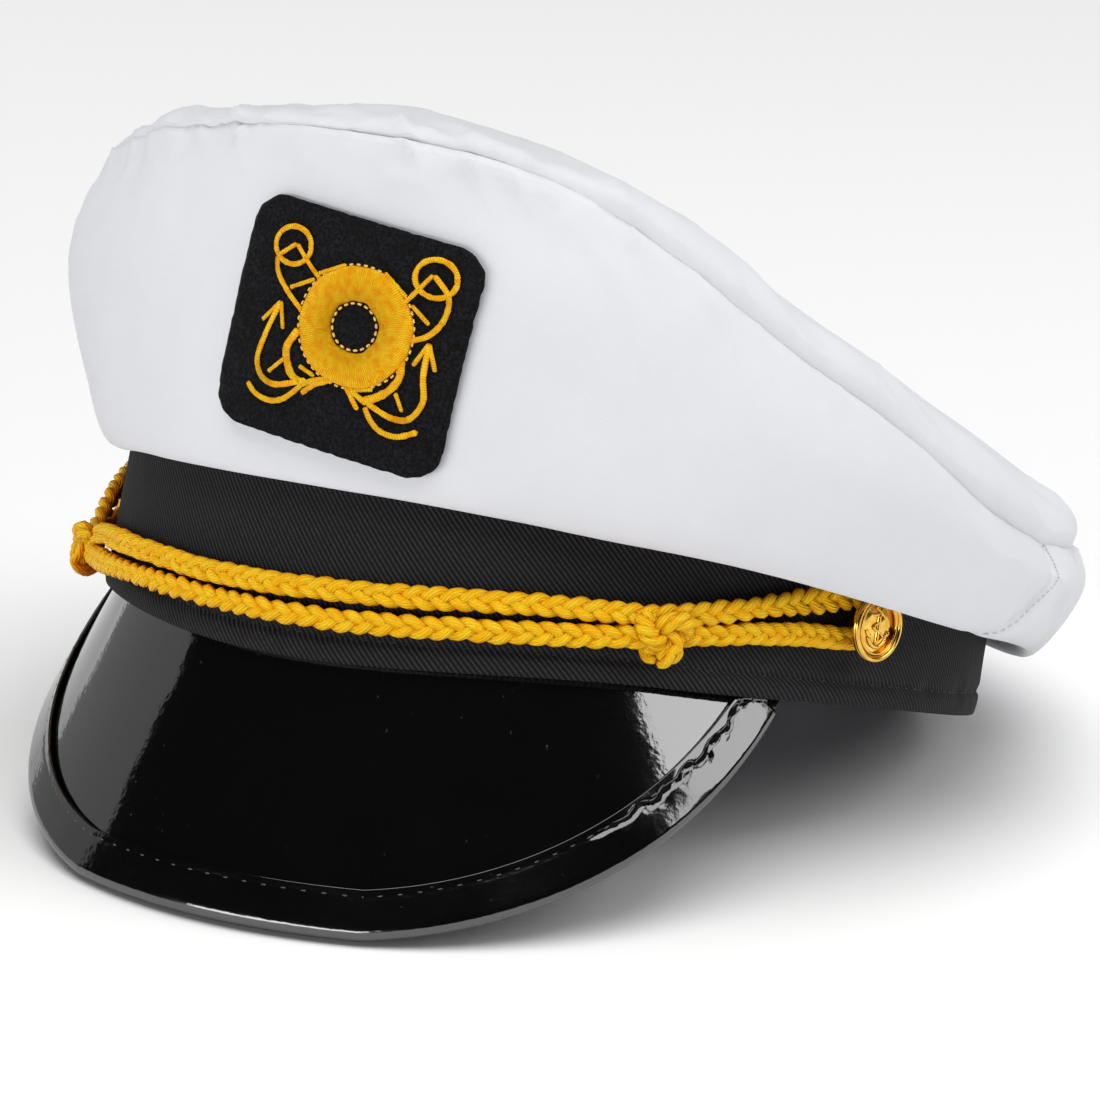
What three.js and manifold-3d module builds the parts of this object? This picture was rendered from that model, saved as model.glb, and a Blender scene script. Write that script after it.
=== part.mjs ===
// A captain hat: a soft white crown on a black twill band, a glossy black peak with a bound edge,
// a doubled gold cord knotted twice and looped round two gilt buttons, and an embroidered patch.
//
// Lengths are millimetres and angles are degrees. Angles round the hat start at the middle of the
// front and grow towards the wearer's left. The hat is drawn upright round its head opening, with
// the front towards -Y and the wearer's left towards +X, and the group at the end tips it back
// until it rests on the edge of its peak and the back of its band.

import * as THREE from 'three';
import { mergeVertices } from 'three/addons/utils/BufferGeometryUtils.js';
import Module from 'manifold-3d';

const wasm = await Module();
wasm.setup();

// Gap left between neighbouring pieces
const clearance = 0.3;
const stepsRound = 64;
const leastStep = 0.4; // share of a step that a piece's first and last steps keep at least

// Head band
const bandLength = 200.8;
const bandWidth = 164.6;
const bandHeight = 30;
const bandWall = 2;
const bandLean = 2; // how far back the top of the band sits
const frontDip = 4.3; // how much lower the lower edge hangs at the front
const frontDipReach = 50; // where the dip has faded out
const backDip = 2.8; // how much lower the lower edge hangs at the back
const backDipStart = 70; // where the back's dip starts
const backDipFull = 125; // and where it is whole
const restFlat = 0.8; // depth pressed flat where the back of the band rests

// Crown cloth
const clothWall = 1.2;
const crownRise = 60; // top seam above the band at the front
const crownOverhang = 17; // how far the fullest part stands out past the band
const lipDrop = 19.5; // how far the cloth hangs over the band where it hangs lowest
const lipReach = 12; // how far out that lowest line stands
const crownPuff = 19; // how far the top swells above its seam
const puffPower = 3;
const puffRoundness = 0.62;
const waveCount = 6; // waves of the top seam that are carried into the top panel
const sideSeam = 118; // angle of the two upright seams at the back
const seamPinch = 2.5; // how far those seams draw the cloth in
const seamPinchReach = 8;

// Crown sections, as shares of the sizes above: the height of the top seam in crownRise, the
// reach of that seam and of the fullest part in crownOverhang, the height of the fullest part
// between the lip and the seam, and the lip in lipDrop and lipReach.
const crownTable = [
  { angle: -150, rise: 0.16, seam: 0.80, belly: 1.00, bellyAt: 0.50, drop: 0.80, lip: 0.62 },
  { angle: -120, rise: 0.31, seam: 0.78, belly: 1.00, bellyAt: 0.52, drop: 0.60, lip: 0.60 },
  { angle: -90, rise: 0.55, seam: 0.72, belly: 1.00, bellyAt: 0.55, drop: 0.36, lip: 0.50 },
  { angle: -60, rise: 0.78, seam: 0.66, belly: 1.08, bellyAt: 0.66, drop: 0.20, lip: 0.33 },
  { angle: -30, rise: 0.93, seam: 0.50, belly: 0.75, bellyAt: 0.66, drop: 0.17, lip: 0.32 },
  { angle: 0, rise: 1.00, seam: 0.42, belly: 0.53, bellyAt: 0.70, drop: 0.16, lip: 0.33 },
  { angle: 30, rise: 0.92, seam: 0.45, belly: 0.65, bellyAt: 0.62, drop: 0.18, lip: 0.35 },
  { angle: 60, rise: 0.49, seam: 0.75, belly: 0.95, bellyAt: 0.52, drop: 0.33, lip: 0.75 },
  { angle: 90, rise: 0.13, seam: 0.86, belly: 1.02, bellyAt: 0.55, drop: 0.66, lip: 1.00 },
  { angle: 120, rise: 0.06, seam: 0.80, belly: 1.03, bellyAt: 0.62, drop: 1.00, lip: 0.65 },
  { angle: 150, rise: 0.06, seam: 0.83, belly: 1.00, bellyAt: 0.60, drop: 1.00, lip: 0.62 },
  { angle: 180, rise: 0.09, seam: 0.82, belly: 1.00, bellyAt: 0.55, drop: 0.94, lip: 0.62 },
];

// Peak and the strip bound over its edge
const peakLength = 48.3; // from the band to the edge, at the middle
const peakFullness = 1.03; // share by which the free outline would pass the surface it rests on
const peakSpread = 66.5; // angle at which the peak runs out on each side
const peakSquareness = 3.1;
const peakCorner = 1.13;
const peakSlope = 76.5; // below the plane of the band, at the middle
const peakSlopeFade = 13; // how much flatter it lies at its ends
const peakTuck = 8; // height tucked up inside the band
const peakWall = 1.6;
const peakSteps = 40;
const peakRows = 4;
const bindingWidth = 8;
const bindingWall = 0.8;
const bindingStart = 1; // least distance below the band

// Gold cord: one cord runs round both buttons and back, drawn together by two knots
const cordDiameter = 4.6;
const knotLength = 12;
const knotHeight = 11;
const knotDepth = 8.5;
const cordSteps = 58;
const cordSides = 8;

// Buttons
const buttonAngle = 73.5;
const buttonDrop = 14.4; // middle of the button below the top of the band
const buttonDiameter = 13;
const buttonRim = 2.1; // thickness of the button's head
const rimRound = 0.6; // rounding of the rim's edges
const rimWidth = 1.1;
const dishWidth = 1.5; // from the edge to the foot of the dish
const dishDepth = 0.6;
const buttonSteps = 14;
const reliefLength = 8; // length of the raised anchor
const reliefWidth = 0.8;
const reliefSink = 0.1;
const reliefSteps = 6;
const shankDiameter = 3;

// Felt patch and its embroidery
const patchWidth = 45.4;
const patchHeight = 41.6;
const patchCorner = 6;
const patchWall = 1.6;
const patchAcross = 10; // middle of the patch, to the wearer's left
const patchUp = 54.5; // and above the edge of the band
const patchTurn = 8; // how far the patch is turned, clockwise seen from the front
const patchColumns = 8;
const cornerShares = [0.35, 0.7, 0.92, 1]; // heights of the points round a corner, in patchCorner
const ringDiameter = 22;
const ringHole = 8.6;
const ringCrown = 1; // how far in from its edges the ring is full
const ringCrownRise = 1.5; // height there, in half threads
const ringEdgeRise = 0.4; // and at the edges
const ringSteps = 20;
const threadWidth = 1.3;
const threadHeight = 1.1;
const anchorLength = 42;
const anchorTurn = 45; // how far each crossed anchor leans
const anchorSteps = 8;
const emblemAcross = 1; // middle of the embroidery on the patch
const emblemUp = 1.2;
const strokeSides = 4;

// Anchor shape, as shares of its length measured from the point where two anchors cross
const shackleRadius = 0.09;
const shackleAt = 0.45;
const shankTop = 0.38;
const shankFoot = -0.43;
const stockAt = 0.28;
const stockReach = 0.14;
const armCentreAt = -0.17;
const armBend = 0.26; // radius of the arms
const barbLength = 0.1;
const barbSpread = 0.055;
const tipPast = 0.04;
const ropeBend = [[0.4, 0.27], [0.39, 0.17], [0.33, 0.09], [0.24, 0.04]];
const evenArms = [-172, -8]; // angles at which the arms end
const leftArms = [-145, -8]; // and on the two crossed anchors, where the life ring and rope leave room
const rightArms = [-172, -35];

const rad = THREE.MathUtils.degToRad;
const { lerp, clamp } = THREE.MathUtils;

// Unit vector straight out of the band
function outward(angle) {
  const t = rad(angle);
  return new THREE.Vector3(Math.sin(t) / bandWidth, -Math.cos(t) / bandLength, 0).normalize();
}

// A point by its angle, its distance out from the band's outer face and its height
function place(angle, out, height) {
  const t = rad(angle);
  const lean = bandLean * Math.min(height / bandHeight, 1);
  const point = new THREE.Vector3((bandWidth / 2) * Math.sin(t), (-bandLength / 2) * Math.cos(t), height);
  return point.addScaledVector(outward(angle), out).add(new THREE.Vector3(0, lean, 0));
}

// Millimetres round the band for each degree
function arcRate(angle) {
  return place(angle + 0.5, 0, 0).distanceTo(place(angle - 0.5, 0, 0));
}

// Angles from one end to the other that keep to the steps all pieces round the hat share
function stations(from, to) {
  const step = 360 / stepsRound;
  const first = Math.ceil(from / step + leastStep);
  const last = Math.floor(to / step - leastStep);
  return [from, ...Array.from({ length: last - first + 1 }, (_, k) => (first + k) * step), to];
}

const allRound = Array.from({ length: stepsRound }, (_, k) => (360 / stepsRound) * k - 180);

// A wall between two skins. Each skin is a list of columns of points; columns run towards the
// wearer's left, points run upwards, and the first skin is the outer one.
function wall(outer, inner, closed) {
  const triangles = [];
  const quad = (a, b, c, d) => triangles.push([a, b, c], [a, c, d]);
  const columns = outer.length;
  const last = outer[0].length - 1;
  for (let i = 0; i < (closed ? columns : columns - 1); i += 1) {
    const n = (i + 1) % columns;
    for (let j = 0; j < last; j += 1) {
      quad(outer[i][j], outer[n][j], outer[n][j + 1], outer[i][j + 1]);
      quad(inner[n][j], inner[i][j], inner[i][j + 1], inner[n][j + 1]);
    }
    quad(outer[i][0], inner[i][0], inner[n][0], outer[n][0]);
    quad(outer[n][last], inner[n][last], inner[i][last], outer[i][last]);
  }
  if (!closed) {
    const end = columns - 1;
    for (let j = 0; j < last; j += 1) {
      quad(outer[0][j], outer[0][j + 1], inner[0][j + 1], inner[0][j]);
      quad(outer[end][j + 1], outer[end][j], inner[end][j], inner[end][j + 1]);
    }
  }
  return solidFrom(triangles);
}

// Geometry from triangles, with shared corners merged and empty triangles dropped
function solidFrom(triangles) {
  const numbers = new Map();
  const positions = [];
  const index = [];
  const numberOf = (point) => {
    const key = point.toArray().map((value) => value.toFixed(4)).join(' ');
    if (!numbers.has(key)) {
      numbers.set(key, numbers.size);
      positions.push(point.x, point.y, point.z);
    }
    return numbers.get(key);
  };
  for (const triangle of triangles) {
    const [a, b, c] = triangle.map(numberOf);
    if (a !== b && b !== c && c !== a) index.push(a, b, c);
  }
  const geometry = new THREE.BufferGeometry();
  geometry.setAttribute('position', new THREE.Float32BufferAttribute(positions, 3));
  geometry.setIndex(index);
  geometry.computeVertexNormals();
  return geometry;
}

// Several closed shapes joined into one
function joined(geometries) {
  let whole = null;
  for (const geometry of geometries) {
    const bare = geometry.clone();
    bare.deleteAttribute('normal');
    bare.deleteAttribute('uv');
    const merged = mergeVertices(bare, 1e-4);
    const solid = new wasm.Manifold(new wasm.Mesh({
      numProp: 3,
      vertProperties: new Float32Array(merged.attributes.position.array),
      triVerts: new Uint32Array(merged.index.array),
    }));
    whole = whole ? whole.add(solid) : solid;
  }
  const mesh = whole.getMesh();
  const result = new THREE.BufferGeometry();
  result.setAttribute('position', new THREE.BufferAttribute(new Float32Array(mesh.vertProperties), 3));
  result.setIndex(new THREE.BufferAttribute(new Uint32Array(mesh.triVerts), 1));
  result.computeVertexNormals();
  return result;
}

// Band

// Lower edge of the band, which dips at the front and at the back
function bandEdge(angle) {
  const away = Math.abs(((angle + 540) % 360) - 180);
  const faded = Math.min(away / frontDipReach, 1);
  const behind = clamp((away - backDipStart) / (backDipFull - backDipStart), 0, 1);
  return -frontDip * Math.cos(faded * Math.PI / 2) ** 2 - backDip * Math.sin(behind * Math.PI / 2) ** 2;
}

function makeBand() {
  const column = (angle, out) => {
    const low = place(angle, out, bandEdge(angle));
    low.z = Math.max(low.z, restHeight(low.y));
    return [low, place(angle, out, bandHeight)];
  };
  const skin = (out) => allRound.map((angle) => column(angle, out));
  return wall(skin(0), skin(-bandWall), true);
}

// Peak

// A point on the peak by its distance along the peak from the band, and its distance out of it
function peakPoint(angle, along, lift) {
  const slope = rad(peakSlope - peakSlopeFade * (angle / peakSpread) ** 2);
  const point = place(angle, -(bandWall + clearance), bandEdge(angle));
  point.addScaledVector(outward(angle), along * Math.cos(slope) + lift * Math.sin(slope));
  point.z += lift * Math.cos(slope) - along * Math.sin(slope);
  return point;
}

// The binding stands this far out of the peak's outer face, past its edge and out of its inner face
const bindingOut = clearance + bindingWall;
const bindingIn = -(peakWall + bindingOut);

// The hat rests on two lines: the lowest line of the binding and the flat at the back of the band
const restFront = peakPoint(0, peakLength + bindingOut, bindingIn);
const restBack = place(180, 0, -backDip + restFlat);
const restSlope = (restBack.z - restFront.z) / (restBack.y - restFront.y);
const restAngle = Math.atan(restSlope);

// Height of the surface under the hat, seen from the upright hat
function restHeight(y) {
  return restBack.z + restSlope * (y - restBack.y);
}

// Length of the peak at an angle: a full rounded outline, pressed flat where it meets the surface
function peakReach(angle) {
  const share = Math.min(Math.abs(angle) / peakSpread, 1);
  const free = peakLength * peakFullness * (1 - share ** peakSquareness) ** peakCorner;
  const above = (along) => {
    const point = peakPoint(angle, along, bindingIn);
    return point.z - restHeight(point.y);
  };
  const floor = above(0) / (above(0) - above(1));
  return Math.min(free, floor - bindingOut);
}

const peakAngles = Array.from(
  { length: peakSteps + 1 },
  (_, k) => lerp(-peakSpread, peakSpread, k / peakSteps),
);

function makePeak() {
  const column = (angle, lift) => {
    const below = Array.from({ length: peakRows }, (_, k) => peakReach(angle) * (1 - k / peakRows));
    const tucked = -(bandWall + clearance) + lift;
    return [
      ...below.map((along) => peakPoint(angle, along, lift)),
      place(angle, tucked, bandEdge(angle)),
      place(angle, tucked, peakTuck),
    ];
  };
  const skin = (lift) => peakAngles.map((angle) => column(angle, lift));
  return wall(skin(0), skin(-peakWall), false);
}

// A point of the binding: how far in from the peak's edge, square to it, and how far out of its face
function bindingPoint(angle, inFromEdge, lift) {
  const rate = arcRate(angle);
  const fall = (peakReach(angle + 0.5) - peakReach(angle - 0.5)) / rate;
  const square = Math.hypot(1, fall);
  const inward = Math.min(inFromEdge, (peakReach(angle) - bindingStart) * square);
  const sideways = (inward * fall) / square / rate;
  return peakPoint(angle + sideways, peakReach(angle) - inward / square, lift);
}

function makeBinding() {
  const section = (angle, past, behind, before) => [
    bindingPoint(angle, bindingWidth, behind),
    bindingPoint(angle, -past, behind),
    bindingPoint(angle, -past, before),
    bindingPoint(angle, bindingWidth, before),
  ];
  const angles = peakAngles.slice(1, -1);
  return wall(
    angles.map((angle) => section(angle, bindingOut, bindingIn, bindingOut)),
    angles.map((angle) => section(angle, clearance, -(peakWall + clearance), clearance)),
    false,
  );
}

// Crown

// A column of the crown table at any angle, on a smooth curve through its rows
function crownShare(angle, column) {
  const rows = crownTable.length;
  const at = ((angle - crownTable[0].angle) / 360) * rows + rows;
  const row = Math.floor(at);
  const f = at - row;
  const [a, b, c, d] = [-1, 0, 1, 2].map((k) => crownTable[(row + k) % rows][column]);
  return b + 0.5 * f * (c - a + f * (2 * a - 5 * b + 4 * c - d + f * (3 * (b - c) + d - a)));
}

const seamHeight = (angle) => bandHeight + crownRise * crownShare(angle, 'rise');
const seamOut = (angle) => crownOverhang * crownShare(angle, 'seam');

// Corners of a section moved sideways by a distance, keeping each side parallel
function shifted(corners, distance) {
  return corners.map((corner, k) => {
    const before = corners[Math.max(k - 1, 0)];
    const after = corners[Math.min(k + 1, corners.length - 1)];
    const ends = [[before, corner], [corner, after]].filter(([from, to]) => from !== to);
    const sum = new THREE.Vector3();
    for (const [from, to] of ends) {
      const side = to.clone().sub(from).normalize();
      sum.add(new THREE.Vector3(-side.y, side.x, 0));
    }
    return corner.clone().addScaledVector(sum, (distance * ends.length) / sum.lengthSq());
  });
}

// Corners of the crown's side in section, x out from the band and y up, with a wall's depth inside
function crownCorners(angle, depth) {
  const lipHeight = bandHeight - lipDrop * crownShare(angle, 'drop');
  const bellyHeight = lerp(lipHeight, seamHeight(angle), crownShare(angle, 'bellyAt'));
  const pinch = seamPinch * Math.exp(-(((Math.abs(angle) - sideSeam) / seamPinchReach) ** 2));
  const corners = shifted([
    new THREE.Vector3(-bandWall, bandHeight + clearance, 0),
    new THREE.Vector3(clearance, bandHeight + clearance, 0),
    new THREE.Vector3(lipReach * crownShare(angle, 'lip'), lipHeight, 0),
    new THREE.Vector3(crownOverhang * crownShare(angle, 'belly') - pinch, bellyHeight, 0),
    new THREE.Vector3(seamOut(angle), seamHeight(angle), 0),
  ], depth);
  corners.at(-1).set(seamOut(angle) - depth, seamHeight(angle), 0);
  return corners;
}

// The section from the band's top corner down to the lip, then up to the seam
function crownCurve(angle, depth) {
  return new THREE.CatmullRomCurve3(crownCorners(angle, depth).slice(1), false, 'centripetal');
}

const lipShare = 1 / 3; // where the lip lies along that curve
const crownSamples = 9;

// A column of points up the crown's side
function crownColumn(angle, depth) {
  const curve = crownCurve(angle, depth).getPoints(crownSamples);
  return [crownCorners(angle, depth)[0], ...curve].map((point) => place(angle, point.x, point.y));
}

function makeCrownPanel(from, to) {
  const angles = stations(from, to);
  return wall(
    angles.map((angle) => crownColumn(angle, 0)),
    angles.map((angle) => crownColumn(angle, clothWall)),
    false,
  );
}

// Waves of the top seam round the hat, from its mean upwards. Stretched cloth carries a wave
// towards the middle the less, the shorter the wave is.
const seamWaves = Array.from({ length: waveCount }, (_, n) => {
  const share = (n === 0 ? 1 : 2) / stepsRound;
  const part = (wave) => share * allRound.reduce(
    (sum, angle) => sum + seamHeight(angle) * wave(n * rad(angle)),
    0,
  );
  return { n, even: part(Math.cos), odd: part(Math.sin) };
});

function stretchedHeight(angle, share) {
  const t = rad(angle);
  const waves = (s) => seamWaves.reduce(
    (sum, { n, even, odd }) => sum + s ** n * (even * Math.cos(n * t) + odd * Math.sin(n * t)),
    0,
  );
  return waves(share) + (seamHeight(angle) - waves(1)) * share ** seamWaves.length;
}

// A point of the top panel: share 1 is the seam and 0 the middle
function topPoint(angle, share) {
  const edge = place(angle, seamOut(angle), bandHeight);
  const middle = new THREE.Vector3(0, bandLean, 0);
  const point = middle.lerp(edge, share);
  const puff = crownPuff * (1 - share ** puffPower) ** puffRoundness;
  point.z = stretchedHeight(angle, share) + clearance + puff;
  return point;
}

// Direction out of the top panel
function topNormal(angle, share) {
  const around = topPoint(angle + 2, share).sub(topPoint(angle - 2, share));
  const inwards = topPoint(angle, share - 0.01).sub(topPoint(angle, share + 0.01));
  return around.cross(inwards).normalize();
}

const topShares = [0.97, 0.9, 0.78, 0.62, 0.43, 0.22];

function makeCrownTop() {
  const column = (angle, depth) => {
    const rim = place(angle, seamOut(angle) - depth, seamHeight(angle) + clearance);
    const rings = topShares.map(
      (share) => topPoint(angle, share).addScaledVector(topNormal(angle, share), -depth),
    );
    const middle = topPoint(0, 0);
    middle.z -= depth;
    return [rim, ...rings, middle];
  };
  return wall(
    allRound.map((angle) => column(angle, 0)),
    allRound.map((angle) => column(angle, clothWall)),
    true,
  );
}

// Patch and embroidery

const faceTurns = 5; // rounds in which the angle at a given x is found
const faceHalvings = 16; // and halvings in which a height is found on a section

// How far out the crown's section at an angle stands at a height
function crownOut(angle, height) {
  const curve = crownCurve(angle, 0);
  let low = lipShare;
  let high = 1;
  for (let halving = 0; halving < faceHalvings; halving += 1) {
    const middle = (low + high) / 2;
    if (curve.getPoint(middle).y < height) {
      low = middle;
    } else {
      high = middle;
    }
  }
  return curve.getPoint(low).x;
}

// Where the front of the crown stands at a given x and height, as y
function crownFace(x, height) {
  let angle = 0;
  let out = 0;
  for (let turn = 0; turn < faceTurns; turn += 1) {
    angle = THREE.MathUtils.radToDeg(Math.asin((x - outward(angle).x * out) / (bandWidth / 2)));
    out = crownOut(angle, height);
  }
  return place(angle, out, height).y;
}

// A point of the patch: across and up from its middle, and out of the crown's face
function patchPoint(across, up, lift) {
  const turn = rad(patchTurn);
  const x = patchAcross + across * Math.cos(turn) + up * Math.sin(turn);
  const height = patchUp - across * Math.sin(turn) + up * Math.cos(turn);
  const y = crownFace(x, height);
  const slopeX = crownFace(x + 1, height) - crownFace(x - 1, height);
  const slopeUp = crownFace(x, height + 1) - crownFace(x, height - 1);
  const normal = new THREE.Vector3(slopeX / 2, -1, slopeUp / 2).normalize();
  return new THREE.Vector3(x, y, height).addScaledVector(normal, lift);
}

// Half width of the patch at a height, with its rounded corners
function patchHalf(up) {
  const past = Math.max(Math.abs(up) - (patchHeight / 2 - patchCorner), 0);
  return patchWidth / 2 - patchCorner + Math.sqrt(Math.max(patchCorner ** 2 - past ** 2, 0));
}

function makePatch() {
  const straight = patchHeight / 2 - patchCorner;
  const upper = [straight / 2, straight, ...cornerShares.map((share) => straight + patchCorner * share)];
  const rows = [...upper.map((up) => -up).reverse(), 0, ...upper];
  const columns = Array.from({ length: patchColumns + 1 }, (_, k) => lerp(-1, 1, k / patchColumns));
  const column = (side, lift) => rows.map((up) => patchPoint(side * patchHalf(up), up, lift));
  const skin = (lift) => columns.map((side) => column(side, lift));
  return wall(skin(clearance + patchWall), skin(clearance), false);
}

// A round stroke along a curve
function stroke(points, diameter, steps, sides = strokeSides) {
  const corners = Array.from({ length: sides }, (_, k) => {
    const t = (2 * Math.PI * k) / sides;
    return new THREE.Vector2(Math.cos(t), Math.sin(t)).multiplyScalar(diameter / 2);
  });
  const path = new THREE.CatmullRomCurve3(points, false, 'centripetal');
  const options = { steps, extrudePath: path, bevelEnabled: false };
  return new THREE.ExtrudeGeometry(new THREE.Shape(corners), options);
}

function arc(centre, radius, from, to, count) {
  return Array.from({ length: count + 1 }, (_, k) => {
    const t = rad(lerp(from, to, k / count));
    return new THREE.Vector3(centre.x + radius * Math.cos(t), centre.y + radius * Math.sin(t), 0);
  });
}

// Strokes of an anchor that stands upright on the point where two anchors cross, ring at the top.
// Its arms end at two angles, with a barbed fluke on each.
function anchorStrokes(length, width, steps, armEnds) {
  const at = (x, y) => new THREE.Vector3(x * length, y * length, 0);
  const armRadius = armBend * length;
  const armCentre = at(0, armCentreAt);
  const shackle = new THREE.TorusGeometry(shackleRadius * length, width / 2, strokeSides, steps + 2);
  const strokes = [
    shackle.translate(0, shackleAt * length, 0),
    stroke([at(0, shankTop), at(0, 0), at(0, shankFoot)], width, Math.ceil(steps / 2)),
    stroke([at(-stockReach, stockAt), at(0, stockAt), at(stockReach, stockAt)], width, 2),
    stroke(arc(armCentre, armRadius, ...armEnds, steps), width, steps),
  ];
  for (const [end, way] of [[armEnds[0], -1], [armEnds[1], 1]]) {
    const radial = new THREE.Vector3(Math.cos(rad(end)), Math.sin(rad(end)), 0);
    const along = new THREE.Vector3(-radial.y * way, radial.x * way, 0);
    const tip = armCentre.clone().addScaledVector(radial, armRadius);
    tip.addScaledVector(along, tipPast * length);
    for (const side of [-1, 1]) {
      const barb = tip.clone().addScaledVector(along, -barbLength * length);
      barb.addScaledVector(radial, side * barbSpread * length);
      strokes.push(stroke([tip, barb], width, 1));
    }
  }
  return strokes;
}

// Flat strokes pressed to the thread's height and laid on the patch
function laidOnPatch(geometry) {
  const position = geometry.attributes.position;
  const base = clearance + patchWall + clearance + threadHeight / 2;
  for (let k = 0; k < position.count; k += 1) {
    const lift = base + position.getZ(k) * (threadHeight / threadWidth);
    const point = patchPoint(position.getX(k), position.getY(k), lift);
    position.setXYZ(k, point.x, point.y, point.z);
  }
  return geometry;
}

// The life ring, lying flat
function makeRing() {
  const thick = threadWidth / 2;
  const profile = [
    [ringHole / 2, -thick],
    [ringDiameter / 2, -thick],
    [ringDiameter / 2, thick * ringEdgeRise],
    [ringDiameter / 2 - ringCrown, thick * ringCrownRise],
    [ringHole / 2 + ringCrown, thick * ringCrownRise],
    [ringHole / 2, thick * ringEdgeRise],
    [ringHole / 2, -thick],
  ].map(([x, y]) => new THREE.Vector2(x, y));
  return new THREE.LatheGeometry(profile, ringSteps).rotateX(Math.PI / 2);
}

function makeEmblem() {
  const pieces = [makeRing()];
  for (const [side, armEnds] of [[-1, rightArms], [1, leftArms]]) {
    const anchor = anchorStrokes(anchorLength, threadWidth, anchorSteps, armEnds);
    pieces.push(...anchor.map((piece) => piece.rotateZ(rad(anchorTurn * side))));
    const rope = ropeBend.map(([x, y]) => new THREE.Vector3(-side * x, y, 0).multiplyScalar(anchorLength));
    pieces.push(stroke(rope, threadWidth, rope.length));
  }
  return joined(pieces.map((piece) => laidOnPatch(piece.translate(emblemAcross, emblemUp, 0))));
}

// Buttons

function makeButton() {
  const back = clearance + cordDiameter + clearance;
  const edge = buttonDiameter / 2;
  const face = back + buttonRim;
  const profile = [
    [0, 0],
    [shankDiameter / 2, 0],
    [shankDiameter / 2, back],
    [edge - rimRound, back],
    [edge, back + rimRound],
    [edge, face - rimRound],
    [edge - rimRound, face],
    [edge - rimWidth, face],
    [edge - dishWidth, face - dishDepth],
    [0, face],
  ].map(([x, y]) => new THREE.Vector2(x, y));
  const disc = new THREE.LatheGeometry(profile, buttonSteps).rotateX(Math.PI / 2);
  const relief = anchorStrokes(reliefLength, reliefWidth, reliefSteps, evenArms);
  return joined([disc, ...relief.map((piece) => piece.translate(0, 0, face - reliefSink))]);
}

// Cord

// The cord's route by angle, drop below the top of the band, and distance out past lying on the
// band. It starts in the knot on the wearer's right, and follows the upper strand to the left button,
// then the lower strand to the right button and back into the knot.
const cordRoute = [
  [-50, 22.4, 1.5], [-43, 20.6, 0], [-33, 20.4, 0], [-24, 20.8, 0], [-10, 21.6, 0], [2, 21.4, 0],
  [17, 20, 0], [28, 18.4, 0], [38, 17.4, 0.5], [46, 17, 1.6], [54, 15, 0.3], [62, 12.2, 0],
  [68.5, 10.3, 0], [72.8, 9.5, 0], [76.2, 11.2, 0], [77.3, 14.6, 0], [76, 18.2, 0], [71.5, 19.4, 0],
  [65, 18, 0], [54.5, 19.4, 0], [46, 20.8, 1.6], [38, 22.2, 0.5], [28.5, 23.6, 0], [17.5, 25.2, 0],
  [8, 26.2, 0], [-3.5, 26.4, 0], [-18.5, 25.8, 0], [-33, 25.4, 0], [-43, 25.4, 0.2], [-50, 24.6, 1.6],
  [-57, 21.6, 0.6], [-63, 19.4, 0], [-71, 19.7, 0], [-76.2, 18, 0], [-77.4, 14, 0], [-73.8, 9.2, 0],
  [-66, 9.4, 0], [-58, 14.6, 0.6], [-51, 22, 1.6],
];

// Middle of each knot by angle and drop
const knots = [[-50, 23.6], [47, 19.6]];

function makeCord() {
  const lying = clearance + cordDiameter / 2;
  const points = cordRoute.map(([angle, drop, out]) => place(angle, lying + out, bandHeight - drop));
  const pieces = [stroke(points, cordDiameter, cordSteps, cordSides)];
  for (const [angle, drop] of knots) {
    const turn = Math.atan2(outward(angle).x, -outward(angle).y);
    const centre = place(angle, clearance + knotDepth / 2, bandHeight - drop);
    const knot = new THREE.SphereGeometry(0.5, 10, 8).scale(knotLength, knotDepth, knotHeight);
    pieces.push(knot.rotateZ(turn).translate(centre.x, centre.y, centre.z));
  }
  return joined(pieces);
}

// Materials and assembly

function named(name, geometry, color, roughness, metalness) {
  const mesh = new THREE.Mesh(geometry, new THREE.MeshStandardMaterial({ color, roughness, metalness }));
  mesh.name = name;
  return mesh;
}

const white = [0xe9ebf0, 0.85, 0];
const twill = [0x1d1d20, 0.8, 0];
const vinyl = [0x060607, 0.08, 0];
const gold = [0xf3a916, 0.55, 0];
const gilt = [0xd9b13c, 0.25, 1];
const felt = [0x17171a, 0.95, 0];

const halfGap = clearance / 2 / arcRate(sideSeam);
const hat = new THREE.Group();
hat.add(named('band', makeBand(), ...twill));
hat.add(named('crown_front', makeCrownPanel(-sideSeam + halfGap, sideSeam - halfGap), ...white));
hat.add(named('crown_back', makeCrownPanel(sideSeam + halfGap, 360 - sideSeam - halfGap), ...white));
hat.add(named('crown_top', makeCrownTop(), ...white));
hat.add(named('peak', makePeak(), ...vinyl));
hat.add(named('peak_binding', makeBinding(), ...vinyl));
hat.add(named('gold_cord', makeCord(), ...gold));
hat.add(named('patch', makePatch(), ...felt));
hat.add(named('emblem', makeEmblem(), ...gold));
for (const [name, side] of [['button_left', 1], ['button_right', -1]]) {
  const button = named(name, makeButton(), ...gilt);
  const out = outward(side * buttonAngle);
  const up = new THREE.Vector3(0, 0, 1);
  button.position.copy(place(side * buttonAngle, clearance, bandHeight - buttonDrop));
  button.quaternion.setFromRotationMatrix(new THREE.Matrix4().makeBasis(up.clone().cross(out), up, out));
  hat.add(button);
}

// Tipped back until it rests, and set down with its origin under the middle of its bounds
hat.rotation.x = -restAngle;
const captainHat = new THREE.Group();
captainHat.add(hat);
captainHat.updateMatrixWorld(true);
const bounds = new THREE.Box3().setFromObject(captainHat, true);
const middle = bounds.getCenter(new THREE.Vector3());
hat.position.set(-middle.x, -middle.y, -bounds.min.z);

export default captainHat;
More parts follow.
